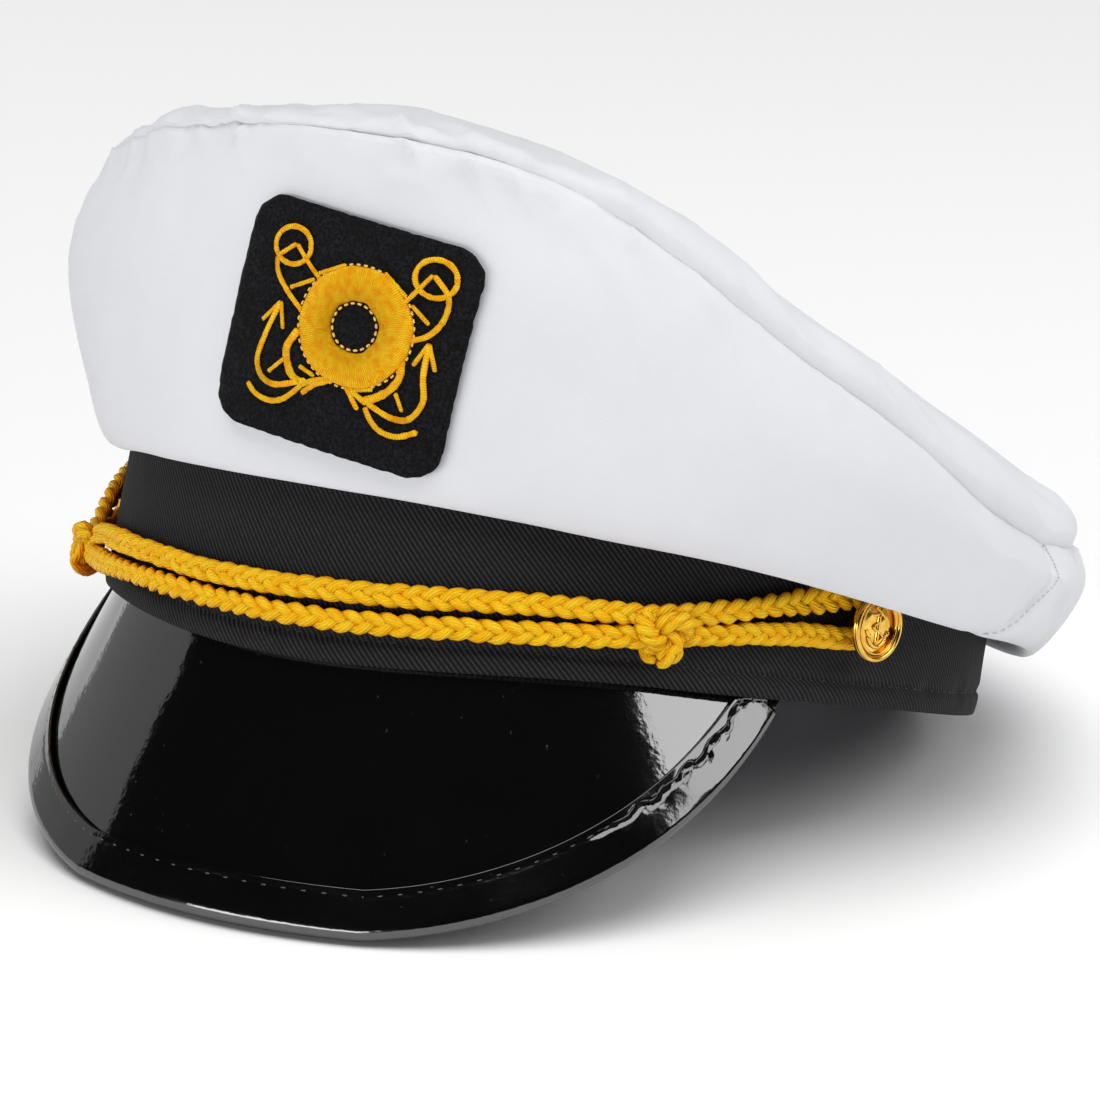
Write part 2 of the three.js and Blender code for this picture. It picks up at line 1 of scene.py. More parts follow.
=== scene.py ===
"""A captain hat: soft white crown, black twill band, glossy peak, plaited gold cord, embroidered patch.

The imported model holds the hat's sizes and its place. Each class here dresses one sub-assembly. It works
from the same driving sizes as the model, makes finer meshes from them and gives them their finishes.

Lengths are millimetres until `HatForm.to_row` turns a point into metres in the row frame. Angles are
degrees round the band, from the middle of the front towards the wearer's left. The hat's own frame
stands upright on the plane of the band.
"""

import logging
import math
from dataclasses import dataclass
from enum import Enum
from functools import cached_property, lru_cache, partial
from itertools import accumulate, pairwise
from typing import Callable, Sequence

import bmesh
import bpy
from mathutils import Matrix, Vector, noise


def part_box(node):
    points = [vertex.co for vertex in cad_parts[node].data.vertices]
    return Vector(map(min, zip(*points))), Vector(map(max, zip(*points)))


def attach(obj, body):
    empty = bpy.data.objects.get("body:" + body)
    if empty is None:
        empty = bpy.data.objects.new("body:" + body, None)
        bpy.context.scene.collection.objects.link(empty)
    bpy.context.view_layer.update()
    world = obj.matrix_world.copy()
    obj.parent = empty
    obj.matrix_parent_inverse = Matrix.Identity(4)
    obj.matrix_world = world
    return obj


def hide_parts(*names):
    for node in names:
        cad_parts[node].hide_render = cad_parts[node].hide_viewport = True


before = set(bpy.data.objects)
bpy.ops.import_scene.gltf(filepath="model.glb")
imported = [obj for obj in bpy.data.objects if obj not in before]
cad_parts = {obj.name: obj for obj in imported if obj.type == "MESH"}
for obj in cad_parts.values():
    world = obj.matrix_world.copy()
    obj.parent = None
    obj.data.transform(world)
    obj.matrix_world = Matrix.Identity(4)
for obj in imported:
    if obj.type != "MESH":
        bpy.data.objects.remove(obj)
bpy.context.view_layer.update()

log = logging.getLogger("captain_hat")

MILLIMETRE = 0.001
# The band's mean radius, and the millimetres round the crown's side for a degree.
MEAN_RADIUS = 95.0
MEAN_RATE = 1.6
# Steps along and round a stitch.
STITCH_STEPS = (5, 6)


def clamp(value: float, low: float = 0.0, high: float = 1.0) -> float:
    """The value, kept between two limits."""
    return max(low, min(high, value))


def lerp(start: float, end: float, share: float) -> float:
    """The value a share of the way from start to end."""
    return start + (end - start) * share


def hump(distance: float, reach: float) -> float:
    """A smooth hump, 1 at distance 0 and almost 0 at twice its reach."""
    return math.exp(-((distance / reach) ** 2))


def ripple(across: float, along: float, seed: float = 0.0) -> float:
    """Smooth repeatable unevenness between about -1 and 1.

    Args:
        across: first coordinate, in wavelengths.
        along: second coordinate, in wavelengths.
        seed: a number that picks another pattern.

    Returns:
        The unevenness at that place.
    """
    return 2 * noise.noise(Vector((across, along, seed)))


def round_ripple(angle: float, size: float, along: float, seed: float = 0.0) -> float:
    """Unevenness round the hat that meets itself again after a full turn.

    Args:
        angle: angle round the band.
        size: wavelength round the hat, in millimetres.
        along: the other coordinate, in wavelengths.
        seed: a number that picks another pattern.

    Returns:
        The unevenness at that place.
    """
    t = math.radians(angle)
    radius = MEAN_RADIUS / size
    return 2 * noise.noise(Vector((radius * math.sin(t), radius * math.cos(t), along + 7.3 * seed)))


def even_picks(sums: Sequence[float], count: int) -> list[tuple[int, float]]:
    """Splits a running sum into even parts.

    Args:
        sums: the running sum, rising from 0.
        count: how many parts it is split into.

    Returns:
        For each end of a part, the index of the sum below it and the share of the way to the next.
    """
    picks = []
    at = 0
    for k in range(count + 1):
        wanted = sums[-1] * k / count
        while at < len(sums) - 2 and sums[at + 1] < wanted:
            at += 1
        picks.append((at, clamp((wanted - sums[at]) / (sums[at + 1] - sums[at]))))
    return picks


def spread_steps(low: float, high: float, count: int, closeness: Callable[[float], float]) -> list[float]:
    """Values from low to high that lie closer together where closeness is larger.

    Args:
        low: the first value.
        high: the last value.
        count: how many steps lie between them.
        closeness: how close the steps are at a value, 1 for plain.

    Returns:
        The values, one more than the steps.
    """
    fine = 2400
    values = [lerp(low, high, k / fine) for k in range(fine + 1)]
    sums = [0.0, *accumulate(map(closeness, values[1:]))]
    return [lerp(values[at], values[at + 1], share) for at, share in even_picks(sums, count)]


def on_curve(points: Sequence[Vector], share: float) -> Vector:
    """A point on the smooth curve through some points.

    Args:
        points: the points, two or more.
        share: how far along, 0 to 1, each span counting the same.

    Returns:
        The point on the centripetal curve.
    """
    spans = len(points) - 1
    at = clamp(share, 0, 1) * spans
    k = min(int(at), spans - 1)
    f = at - k
    p1, p2 = points[k], points[k + 1]
    p0 = points[k - 1] if k > 0 else 2 * p1 - p2
    p3 = points[k + 2] if k + 2 <= spans else 2 * p2 - p1
    d0 = math.sqrt((p1 - p0).length)
    d1 = math.sqrt((p2 - p1).length)
    d2 = math.sqrt((p3 - p2).length)
    m1 = ((p1 - p0) / d0 - (p2 - p0) / (d0 + d1) + (p2 - p1) / d1) * d1
    m2 = ((p2 - p1) / d1 - (p3 - p1) / (d1 + d2) + (p3 - p2) / d2) * d1
    return p1 + m1 * f + (3 * (p2 - p1) - 2 * m1 - m2) * f**2 + (2 * (p1 - p2) + m1 + m2) * f**3


@dataclass(frozen=True)
class CrownSection:
    """One row of the crown's table: shares of the crown's sizes at an angle."""

    angle: float
    rise: float
    seam: float
    belly: float
    belly_at: float
    drop: float
    lip: float


CROWN_SECTIONS = (
    CrownSection(-150, 0.16, 0.80, 1.00, 0.50, 0.80, 0.62),
    CrownSection(-120, 0.31, 0.78, 1.00, 0.52, 0.60, 0.60),
    CrownSection(-90, 0.55, 0.72, 1.00, 0.55, 0.36, 0.50),
    CrownSection(-60, 0.78, 0.66, 1.08, 0.66, 0.20, 0.33),
    CrownSection(-30, 0.93, 0.50, 0.75, 0.66, 0.17, 0.32),
    CrownSection(0, 1.00, 0.42, 0.53, 0.70, 0.16, 0.33),
    CrownSection(30, 0.92, 0.45, 0.65, 0.62, 0.18, 0.35),
    CrownSection(60, 0.49, 0.75, 0.95, 0.52, 0.33, 0.75),
    CrownSection(90, 0.13, 0.86, 1.02, 0.55, 0.66, 1.00),
    CrownSection(120, 0.06, 0.80, 1.03, 0.62, 1.00, 0.65),
    CrownSection(150, 0.06, 0.83, 1.00, 0.60, 1.00, 0.62),
    CrownSection(180, 0.09, 0.82, 1.00, 0.55, 0.94, 0.62),
)


@dataclass(eq=False)
class HatForm:
    """The hat's driving sizes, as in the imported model, and the surfaces that follow from them."""

    clearance: float = 0.3
    band_length: float = 200.8
    band_width: float = 164.6
    band_height: float = 30
    band_wall: float = 2
    band_lean: float = 2
    front_dip: float = 4.3
    front_dip_reach: float = 50
    back_dip: float = 2.8
    back_dip_start: float = 70
    back_dip_full: float = 125
    rest_flat: float = 0.8
    cloth_wall: float = 1.2
    crown_rise: float = 60
    crown_overhang: float = 17
    lip_drop: float = 19.5
    lip_reach: float = 12
    crown_puff: float = 19
    puff_power: float = 3
    puff_roundness: float = 0.62
    wave_count: int = 6
    steps_round: int = 64
    side_seam: float = 118
    seam_pinch: float = 2.5
    seam_pinch_reach: float = 8
    peak_length: float = 48.3
    peak_fullness: float = 1.03
    peak_spread: float = 66.5
    peak_squareness: float = 3.1
    peak_corner: float = 1.13
    peak_slope: float = 76.5
    peak_slope_fade: float = 13
    peak_tuck: float = 8
    peak_wall: float = 1.6
    binding_width: float = 8
    binding_wall: float = 0.8
    binding_start: float = 1
    patch_width: float = 45.4
    patch_height: float = 41.6
    patch_corner: float = 6
    patch_wall: float = 1.6
    patch_across: float = 10
    patch_up: float = 54.5
    patch_turn: float = 8

    def outward(self, angle: float) -> Vector:
        """Unit vector straight out of the band at an angle."""
        t = math.radians(angle)
        return Vector((math.sin(t) / self.band_width, -math.cos(t) / self.band_length, 0)).normalized()

    def place(self, angle: float, out: float, height: float) -> Vector:
        """A point by its angle, its distance out of the band's face and its height."""
        t = math.radians(angle)
        lean = self.band_lean * min(height / self.band_height, 1)
        x = self.band_width / 2 * math.sin(t)
        y = -self.band_length / 2 * math.cos(t) + lean
        return Vector((x, y, height)) + self.outward(angle) * out

    def arc_rate(self, angle: float) -> float:
        """Millimetres round the band for each degree."""
        return (self.place(angle + 0.5, 0, 0) - self.place(angle - 0.5, 0, 0)).length

    def band_edge(self, angle: float) -> float:
        """Height of the band's lower edge, which dips at the front and the back."""
        away = abs((angle + 540) % 360 - 180)
        faded = min(away / self.front_dip_reach, 1)
        behind = clamp((away - self.back_dip_start) / (self.back_dip_full - self.back_dip_start))
        front = self.front_dip * math.cos(faded * math.pi / 2) ** 2
        return -front - self.back_dip * math.sin(behind * math.pi / 2) ** 2

    def peak_point(self, angle: float, along: float, lift: float) -> Vector:
        """A point on the peak.

        Args:
            angle: angle round the band.
            along: distance down the peak from the band.
            lift: distance out of the peak's outer face.

        Returns:
            The point in the hat's own frame.
        """
        slope = math.radians(self.peak_slope - self.peak_slope_fade * (angle / self.peak_spread) ** 2)
        point = self.place(angle, -(self.band_wall + self.clearance), self.band_edge(angle))
        point += self.outward(angle) * (along * math.cos(slope) + lift * math.sin(slope))
        point.z += lift * math.cos(slope) - along * math.sin(slope)
        return point

    @cached_property
    def binding_out(self) -> float:
        """How far the binding stands out of the peak's outer face."""
        return self.clearance + self.binding_wall

    @cached_property
    def binding_in(self) -> float:
        """How far the binding stands behind the peak's outer face, as a negative lift."""
        return -(self.peak_wall + self.binding_out)

    @cached_property
    def rest_back(self) -> Vector:
        """The back of the band where it meets the surface."""
        return self.place(180, 0, -self.back_dip + self.rest_flat)

    @cached_property
    def rest_slope(self) -> float:
        """Slope of the surface under the hat, seen from the upright hat."""
        front = self.peak_point(0, self.peak_length + self.binding_out, self.binding_in)
        return (self.rest_back.z - front.z) / (self.rest_back.y - front.y)

    def rest_height(self, y: float) -> float:
        """Height of the surface under the hat, seen from the upright hat."""
        return self.rest_back.z + self.rest_slope * (y - self.rest_back.y)

    @lru_cache(maxsize=None)
    def peak_reach(self, angle: float) -> float:
        """Length of the peak at an angle, pressed flat where it meets the surface."""
        share = min(abs(angle) / self.peak_spread, 1)
        free = self.peak_length * self.peak_fullness
        free *= (1 - share**self.peak_squareness) ** self.peak_corner
        heights = []
        for along in (0, 1):
            point = self.peak_point(angle, along, self.binding_in)
            heights.append(point.z - self.rest_height(point.y))
        return min(free, heights[0] / (heights[0] - heights[1]) - self.binding_out)

    def binding_point(self, angle: float, in_from_edge: float, lift: float) -> Vector:
        """A point of the binding, by its distance in from the peak's edge and out of its face."""
        rate = self.arc_rate(angle)
        fall = (self.peak_reach(angle + 0.5) - self.peak_reach(angle - 0.5)) / rate
        square = math.hypot(1, fall)
        inward = min(in_from_edge, (self.peak_reach(angle) - self.binding_start) * square)
        sideways = inward * fall / square / rate
        return self.peak_point(angle + sideways, self.peak_reach(angle) - inward / square, lift)

    def crown_share(self, angle: float, column: str) -> float:
        """A column of the crown's table at any angle, on a smooth curve through its rows."""
        rows = len(CROWN_SECTIONS)
        at = (angle - CROWN_SECTIONS[0].angle) / 360 * rows + rows
        row = math.floor(at)
        f = at - row
        a, b, c, d = (getattr(CROWN_SECTIONS[(row + k) % rows], column) for k in (-1, 0, 1, 2))
        return b + 0.5 * f * (c - a + f * (2 * a - 5 * b + 4 * c - d + f * (3 * (b - c) + d - a)))

    def seam_height(self, angle: float) -> float:
        """Height of the crown's top seam."""
        return self.band_height + self.crown_rise * self.crown_share(angle, "rise")

    def seam_out(self, angle: float) -> float:
        """How far the crown's top seam stands out past the band."""
        return self.crown_overhang * self.crown_share(angle, "seam")

    @lru_cache(maxsize=None)
    def crown_corners(self, angle: float) -> tuple[Vector, ...]:
        """Corners of the crown's side in section: x out from the band, y up."""
        lip = self.band_height - self.lip_drop * self.crown_share(angle, "drop")
        belly = lerp(lip, self.seam_height(angle), self.crown_share(angle, "belly_at"))
        from_seam = abs((angle + 180) % 360 - 180) - self.side_seam
        pinch = self.seam_pinch * hump(from_seam, self.seam_pinch_reach)
        return (
            Vector((-self.band_wall, self.band_height + self.clearance, 0)),
            Vector((self.clearance, self.band_height + self.clearance, 0)),
            Vector((self.lip_reach * self.crown_share(angle, "lip"), lip, 0)),
            Vector((self.crown_overhang * self.crown_share(angle, "belly") - pinch, belly, 0)),
            Vector((self.seam_out(angle), self.seam_height(angle), 0)),
        )

    def crown_section(self, angle: float, share: float) -> Vector:
        """A point of the crown's side in section, from the band's top edge to the top seam."""
        return on_curve(self.crown_corners(angle)[1:], share)

    @cached_property
    def seam_waves(self) -> list[tuple[float, float]]:
        """Even and odd parts of the top seam's waves, from its mean upwards."""
        waves = []
        angles = [360 / self.steps_round * k - 180 for k in range(self.steps_round)]
        for n in range(self.wave_count):
            share = (1 if n == 0 else 2) / self.steps_round
            even = share * sum(self.seam_height(a) * math.cos(n * math.radians(a)) for a in angles)
            odd = share * sum(self.seam_height(a) * math.sin(n * math.radians(a)) for a in angles)
            waves.append((even, odd))
        return waves

    def stretched_height(self, angle: float, share: float) -> float:
        """Height of cloth stretched over the top seam, before it is puffed up."""
        t = math.radians(angle)
        waves = enumerate(self.seam_waves)
        parts = [even * math.cos(n * t) + odd * math.sin(n * t) for n, (even, odd) in waves]
        height = sum(part * share**n for n, part in enumerate(parts))
        return height + (self.seam_height(angle) - sum(parts)) * share**self.wave_count

    def top_point(self, angle: float, share: float) -> Vector:
        """A point of the top panel: share 1 is the seam and 0 the middle."""
        edge = self.place(angle, self.seam_out(angle), self.band_height)
        point = Vector((0, self.band_lean, 0)).lerp(edge, share)
        puff = self.crown_puff * (1 - share**self.puff_power) ** self.puff_roundness
        point.z = self.stretched_height(angle, share) + self.clearance + puff
        return point

    def crown_out(self, angle: float, height: float) -> float:
        """How far out the crown's side stands at a height."""
        low, high = 1 / 3, 1.0
        for _ in range(16):
            middle = (low + high) / 2
            if self.crown_section(angle, middle).y < height:
                low = middle
            else:
                high = middle
        return self.crown_section(angle, low).x

    def crown_face(self, x: float, height: float) -> float:
        """Where the front of the crown stands at a given x and height, as y."""
        angle = 0.0
        out = 0.0
        for _ in range(5):
            angle = math.degrees(math.asin((x - self.outward(angle).x * out) / (self.band_width / 2)))
            out = self.crown_out(angle, height)
        return self.place(angle, out, height).y

    @cached_property
    def turn(self) -> Matrix:
        """Turn from the upright hat to the hat at rest."""
        return Matrix.Rotation(-math.atan(self.rest_slope), 3, "X")

    @cached_property
    def seat(self) -> Vector:
        """Shift from the turned hat to the row frame, found by laying its band on the model's."""
        corners = []
        for k in range(self.steps_round):
            angle = 360 / self.steps_round * k - 180
            for out in (0, -self.band_wall):
                low = self.place(angle, out, self.band_edge(angle))
                low.z = max(low.z, self.rest_height(low.y))
                corners += [self.turn @ low, self.turn @ self.place(angle, out, self.band_height)]
        lowest = Vector([min(corner[k] for corner in corners) for k in range(3)])
        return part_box("band")[0] / MILLIMETRE - lowest

    def to_row(self, point: Vector) -> Vector:
        """A point of the upright hat, in metres in the row frame."""
        return (self.turn @ point + self.seat) * MILLIMETRE


FORM = HatForm()


class Slot(Enum):
    """The record's material slots."""
    # Names for the material slots; the pieces here are not given them.

    CROWN = "crown_white"
    BAND = "band_twill"
    PEAK = "peak_gloss"
    CORD = "cord_gold"
    PATCH = "patch_felt"
    THREAD = "thread_gold"
    BUTTON = "button_gilt"


Colour = tuple[float, float, float]
GOLD_SHINE: Colour = (1.0, 0.62, 0.05)


class Shader:
    """The node tree of one material, with short calls that add and link nodes."""

    def __init__(self, name: str) -> None:
        """Starts a material with one Principled shader.

        Args:
            name: the material's name.
        """
        self.material = bpy.data.materials.new(name)
        self.material.use_nodes = True
        self.tree = self.material.node_tree
        self.tree.nodes.clear()
        self.surface = self.tree.nodes.new("ShaderNodeBsdfPrincipled")
        output = self.tree.nodes.new("ShaderNodeOutputMaterial")
        self.tree.links.new(self.surface.outputs["BSDF"], output.inputs["Surface"])

    def set(self, **values: float | Colour) -> None:
        """Sets sockets of the Principled shader, with underscores for spaces in their names."""
        for name, value in values.items():
            socket = self.surface.inputs[name.replace("_", " ")]
            socket.default_value = (*value, 1) if isinstance(value, tuple) else value

    def drive(self, name: str, source: bpy.types.NodeSocket) -> None:
        """Links a socket of the Principled shader to a source."""
        self.tree.links.new(source, self.surface.inputs[name])

    def feed(self, socket: bpy.types.NodeSocket, value: object) -> None:
        """Gives an input socket a number, a colour or a link."""
        if isinstance(value, bpy.types.NodeSocket):
            self.tree.links.new(value, socket)
        elif isinstance(value, tuple):
            socket.default_value = (*value, 1) if len(socket.default_value) == 4 else value
        else:
            socket.default_value = value

    def math(self, operation: str, first: object, second: object = 0.0) -> bpy.types.NodeSocket:
        """A Math node's result."""
        node = self.tree.nodes.new("ShaderNodeMath")
        node.operation = operation
        self.feed(node.inputs[0], first)
        self.feed(node.inputs[1], second)
        return node.outputs[0]

    def surface_axes(self) -> tuple[bpy.types.NodeSocket, bpy.types.NodeSocket]:
        """Millimetres along and across the piece, from its own UV map."""
        coordinates = self.tree.nodes.new("ShaderNodeTexCoord")
        parts = self.tree.nodes.new("ShaderNodeSeparateXYZ")
        self.tree.links.new(coordinates.outputs["UV"], parts.inputs[0])
        return parts.outputs[0], parts.outputs[1]

    def slant(self, along: float, across: float) -> bpy.types.NodeSocket:
        """A coordinate that counts cycles.

        Args:
            along: cycles for each millimetre along the piece.
            across: cycles for each millimetre across it.

        Returns:
            The socket with the number of cycles.
        """
        u, v = self.surface_axes()
        return self.math("ADD", self.math("MULTIPLY", u, along), self.math("MULTIPLY", v, across))

    def ridges(self, along: float, across: float) -> bpy.types.NodeSocket:
        """Smooth ridges from 0 to 1, with the cycles that `slant` counts."""
        turned = self.math("MULTIPLY", self.slant(along, across), 2 * math.pi)
        return self.math("ADD", self.math("MULTIPLY", self.math("SINE", turned), 0.5), 0.5)

    def grain(self, size: float, detail: float = 2.0, on_surface: bool = False) -> bpy.types.NodeSocket:
        """Noise between 0 and 1.

        Args:
            size: size of its blotches in millimetres.
            detail: how many finer layers it has.
            on_surface: whether it reads the UV map instead of Object coordinates.

        Returns:
            The noise's socket.
        """
        coordinates = self.tree.nodes.new("ShaderNodeTexCoord")
        texture = self.tree.nodes.new("ShaderNodeTexNoise")
        texture.inputs["Scale"].default_value = 1 / size if on_surface else 1 / (size * MILLIMETRE)
        texture.inputs["Detail"].default_value = detail
        self.tree.links.new(coordinates.outputs["UV" if on_surface else "Object"], texture.inputs["Vector"])
        return texture.outputs["Fac"]

    def blend(self, factor: object, first: object, second: object) -> bpy.types.NodeSocket:
        """A colour between two, by a factor."""
        node = self.tree.nodes.new("ShaderNodeMix")
        node.data_type = "RGBA"
        self.feed(node.inputs["Factor"], factor)
        self.feed(node.inputs[6], first)
        self.feed(node.inputs[7], second)
        return node.outputs[2]

    def remap(
        self, value: object, low: float, high: float, start: float, end: float
    ) -> bpy.types.NodeSocket:
        """A value moved from one range to another, and kept inside it."""
        node = self.tree.nodes.new("ShaderNodeMapRange")
        self.feed(node.inputs["Value"], value)
        for name, number in (("From Min", low), ("From Max", high), ("To Min", start), ("To Max", end)):
            node.inputs[name].default_value = number
        return node.outputs["Result"]

    def bump(self, *layers: tuple[bpy.types.NodeSocket, float]) -> None:
        """Bumps the surface by layers, each a height from 0 to 1 and its size in millimetres."""
        below = None
        for height, size in layers:
            node = self.tree.nodes.new("ShaderNodeBump")
            node.inputs["Distance"].default_value = size * MILLIMETRE
            self.tree.links.new(height, node.inputs["Height"])
            if below:
                self.tree.links.new(below, node.inputs["Normal"])
            below = node.outputs["Normal"]
        self.drive("Normal", below)


@dataclass(frozen=True)
class CrownCloth:
    """White plain-woven cotton blend, matt, with a faint slub."""

    light: Colour = (0.735, 0.741, 0.770)
    shade: Colour = (0.697, 0.704, 0.742)
    thread: float = 0.36
    roughness: float = 0.9

    def material(self) -> bpy.types.Material:
        """Builds the material."""
        shader = Shader("crown_cloth")
        shader.set(Roughness=self.roughness, Sheen_Weight=0.1, Sheen_Roughness=0.5)
        warp = shader.ridges(1 / self.thread, 0)
        weft = shader.ridges(0, 1 / self.thread)
        weave = shader.math("MULTIPLY", warp, weft)
        slub = shader.grain(9, 3)
        shader.drive("Base Color", shader.blend(slub, self.shade, self.light))
        shader.bump((slub, 0.2), (weave, 0.02))
        return shader.material


@dataclass(frozen=True)
class BandTwill:
    """Black twill with fine slanting ribs, whose raised crests are painted lighter as highlight."""

    dark: Colour = (0.0025, 0.0025, 0.003)
    # The second colour is the painted highlight on the rib crests.
    rib_highlight: Colour = (0.052, 0.052, 0.057)
    pitch: float = 0.8
    cross: float = 0.5
    slope: float = 43.0
    roughness: float = 0.8

    def material(self) -> bpy.types.Material:
        """Builds the material."""
        shader = Shader("band_twill")
        shader.set(Roughness=self.roughness, Specular_IOR_Level=0.2)
        slope = math.radians(self.slope)
        ribs = shader.ridges(math.sin(slope) / self.pitch, math.cos(slope) / self.pitch)
        floats = shader.ridges(math.cos(slope) / self.cross, -math.sin(slope) / self.cross)
        fuzz = shader.grain(0.5, 2)
        crests = shader.math("POWER", ribs, 1.6)
        raised = shader.math("MULTIPLY", crests, shader.remap(floats, 0, 1, 0.55, 1))
        # Painted highlight: the raised rib crests take the lighter colour, dimmed at random by the fuzz.
        lit = shader.math("MULTIPLY", raised, shader.remap(fuzz, 0.3, 0.7, 0.5, 1))
        shader.drive("Base Color", shader.blend(lit, self.dark, self.rib_highlight))
        shader.bump((raised, 0.16), (fuzz, 0.05))
        return shader.material


@dataclass(frozen=True)
class GlossVinyl:
    """Black patent vinyl, glossy, with a slight waviness and a few specks of dust."""

    name: str
    colour: Colour = (0.0012, 0.0012, 0.0014)
    roughness: float = 0.05
    waviness: float = 0.05
    index: float = 1.88

    def material(self) -> bpy.types.Material:
        """Builds the material."""
        shader = Shader(self.name)
        shader.set(IOR=self.index, Specular_IOR_Level=0.8)
        specks = shader.remap(shader.grain(0.8, 0), 0.84, 0.9, 0, 1)
        shader.drive("Base Color", shader.blend(specks, self.colour, (0.04, 0.04, 0.04)))
        dull = shader.remap(shader.grain(14, 3), 0.3, 0.8, self.roughness, self.roughness * 2)
        shader.drive("Roughness", dull)
        shader.bump((shader.grain(16, 1), self.waviness * 4), (shader.grain(1.4, 2), self.waviness * 0.45))
        return shader.material


@dataclass(frozen=True)
class GoldYarn:
    """Golden yellow twisted yarn: fine fibres that run on a slant round a strand, with painted shade on the
    strand's sides and in the grooves between fibres, and painted highlight on the fibres' crests.
    """

    name: str
    # The first colour is partly painted highlight on the fibres' crests and the second partly painted shade
    # between them; the patches vary the tone at random.
    light: Colour = (1.0, 0.68, 0.025)
    middle: Colour = (1.0, 0.47, 0.004)
    painted_shade: Colour = (0.80, 0.20, 0.001)
    girth: float = 7.0
    pitch: float = 0.62
    slant: float = 1.1
    relief: float = 0.2
    roughness: float = 0.42

    def material(self) -> bpy.types.Material:
        """Builds the material."""
        shader = Shader(self.name)
        shader.set(Roughness=self.roughness, Specular_IOR_Level=0.7, Specular_Tint=GOLD_SHINE)
        fibres = shader.ridges(1 / (self.pitch * self.slant * 2), 1 / self.pitch)
        patches = shader.grain(2.4, 3)
        faded = shader.remap(patches, 0.35, 0.65, 0.2, 1.3)
        # Painted highlight and shade: the colour lightens on the fibres' ridges and darkens between them,
        # over random patches of tone.
        ridge_shade_and_tone = shader.math("MULTIPLY", shader.remap(fibres, 0, 1, 0.3, 1), faded)
        # Painted shade: by its place round the tube, the strand's sides and its side toward the band take
        # the dark colour.
        flank_painted_shade = shader.remap(shader.ridges(0, 1 / self.girth), 0.12, 0.62, 0, 1)
        crest = shader.blend(ridge_shade_and_tone, self.middle, self.light)
        shader.drive("Base Color", shader.blend(flank_painted_shade, crest, self.painted_shade))
        shader.bump((fibres, self.relief), (shader.grain(0.25, 1), 0.06))
        return shader.material


@dataclass(frozen=True)
class SatinThread:
    """Golden embroidery thread laid side by side across a stroke, painted darker in the grooves between
    threads as shade and lighter on their crests as highlight.
    """

    name: str
    # The first colour is partly painted highlight on the threads' crests, the second partly painted shade in
    # the grooves between them.
    light: Colour = (1.0, 0.66, 0.02)
    painted_shade: Colour = (0.95, 0.27, 0.001)
    pitch: float = 0.42
    relief: float = 0.2
    roughness: float = 0.38

    def material(self) -> bpy.types.Material:
        """Builds the material."""
        shader = Shader(self.name)
        shader.set(Roughness=self.roughness, Specular_IOR_Level=0.7, Specular_Tint=GOLD_SHINE)
        threads = shader.ridges(1 / self.pitch, 0)
        patches = shader.grain(1.3, 3)
        faded = shader.remap(patches, 0.35, 0.65, 0.35, 1.2)
        # Painted shade and highlight: darker between the threads, lighter on their crests, over random
        # patches of tone.
        ridge_shade_and_tone = shader.math("MULTIPLY", shader.remap(threads, 0, 1, 0.45, 1), faded)
        shader.drive("Base Color", shader.blend(ridge_shade_and_tone, self.painted_shade, self.light))
        shader.bump((threads, self.relief))
        return shader.material


@dataclass(frozen=True)
class PatchFelt:
    """Black felt, slightly fuzzy, with grey flecks."""

    dark: Colour = (0.0025, 0.0025, 0.003)
    fleck: Colour = (0.020, 0.020, 0.024)

    def material(self) -> bpy.types.Material:
        """Builds the material."""
        shader = Shader("patch_felt")
        shader.set(Roughness=0.95, Specular_IOR_Level=0.15, Sheen_Weight=0.02)
        fuzz = shader.grain(0.55, 4)
        clumps = shader.grain(3.5, 3)
        thick = shader.remap(clumps, 0.3, 0.7, 0.4, 1)
        lit = shader.math("MULTIPLY", shader.remap(fuzz, 0.42, 0.75, 0, 1), thick)
        shader.drive("Base Color", shader.blend(lit, self.dark, self.fleck))
        shader.bump((fuzz, 0.35), (clumps, 0.3))
        return shader.material


@dataclass(frozen=True)
class GiltMetal:
    """Polished gilt metal with soft handling marks."""

    colour: Colour = (0.90, 0.60, 0.13)
    worn: Colour = (0.72, 0.40, 0.06)

    def material(self) -> bpy.types.Material:
        """Builds the material."""
        shader = Shader("button_gilt")
        shader.set(Metallic=1.0)
        marks = shader.grain(2.2, 4)
        polished = shader.remap(marks, 0.35, 0.7, 0, 1)
        shader.drive("Base Color", shader.blend(polished, self.worn, self.colour))
        shader.drive("Roughness", shader.remap(marks, 0.3, 0.7, 0.22, 0.12))
        shader.bump((marks, 0.03))
        return shader.material


@dataclass(frozen=True)
class SewingThread:
    """Fine sewing thread of one colour, painted darker in the grooves of its twist as shade."""

    name: str
    colour: Colour
    roughness: float = 0.5
    sheen: float = 0.2
    specular: float = 0.5

    def material(self) -> bpy.types.Material:
        """Builds the material."""
        shader = Shader(self.name)
        shader.set(Roughness=self.roughness, Sheen_Weight=self.sheen, Specular_IOR_Level=self.specular)
        twist = shader.ridges(1.8, 1.8)
        # Painted shade: a darker copy of the thread's colour in the grooves of the twist.
        dark = tuple(0.7 * part for part in self.colour)
        shader.drive("Base Color", shader.blend(twist, dark, self.colour))
        shader.bump((twist, 0.05))
        return shader.material


Placing = Callable[[float, float], Vector]
StitchPlacing = Callable[[int, float, float, float], Vector]


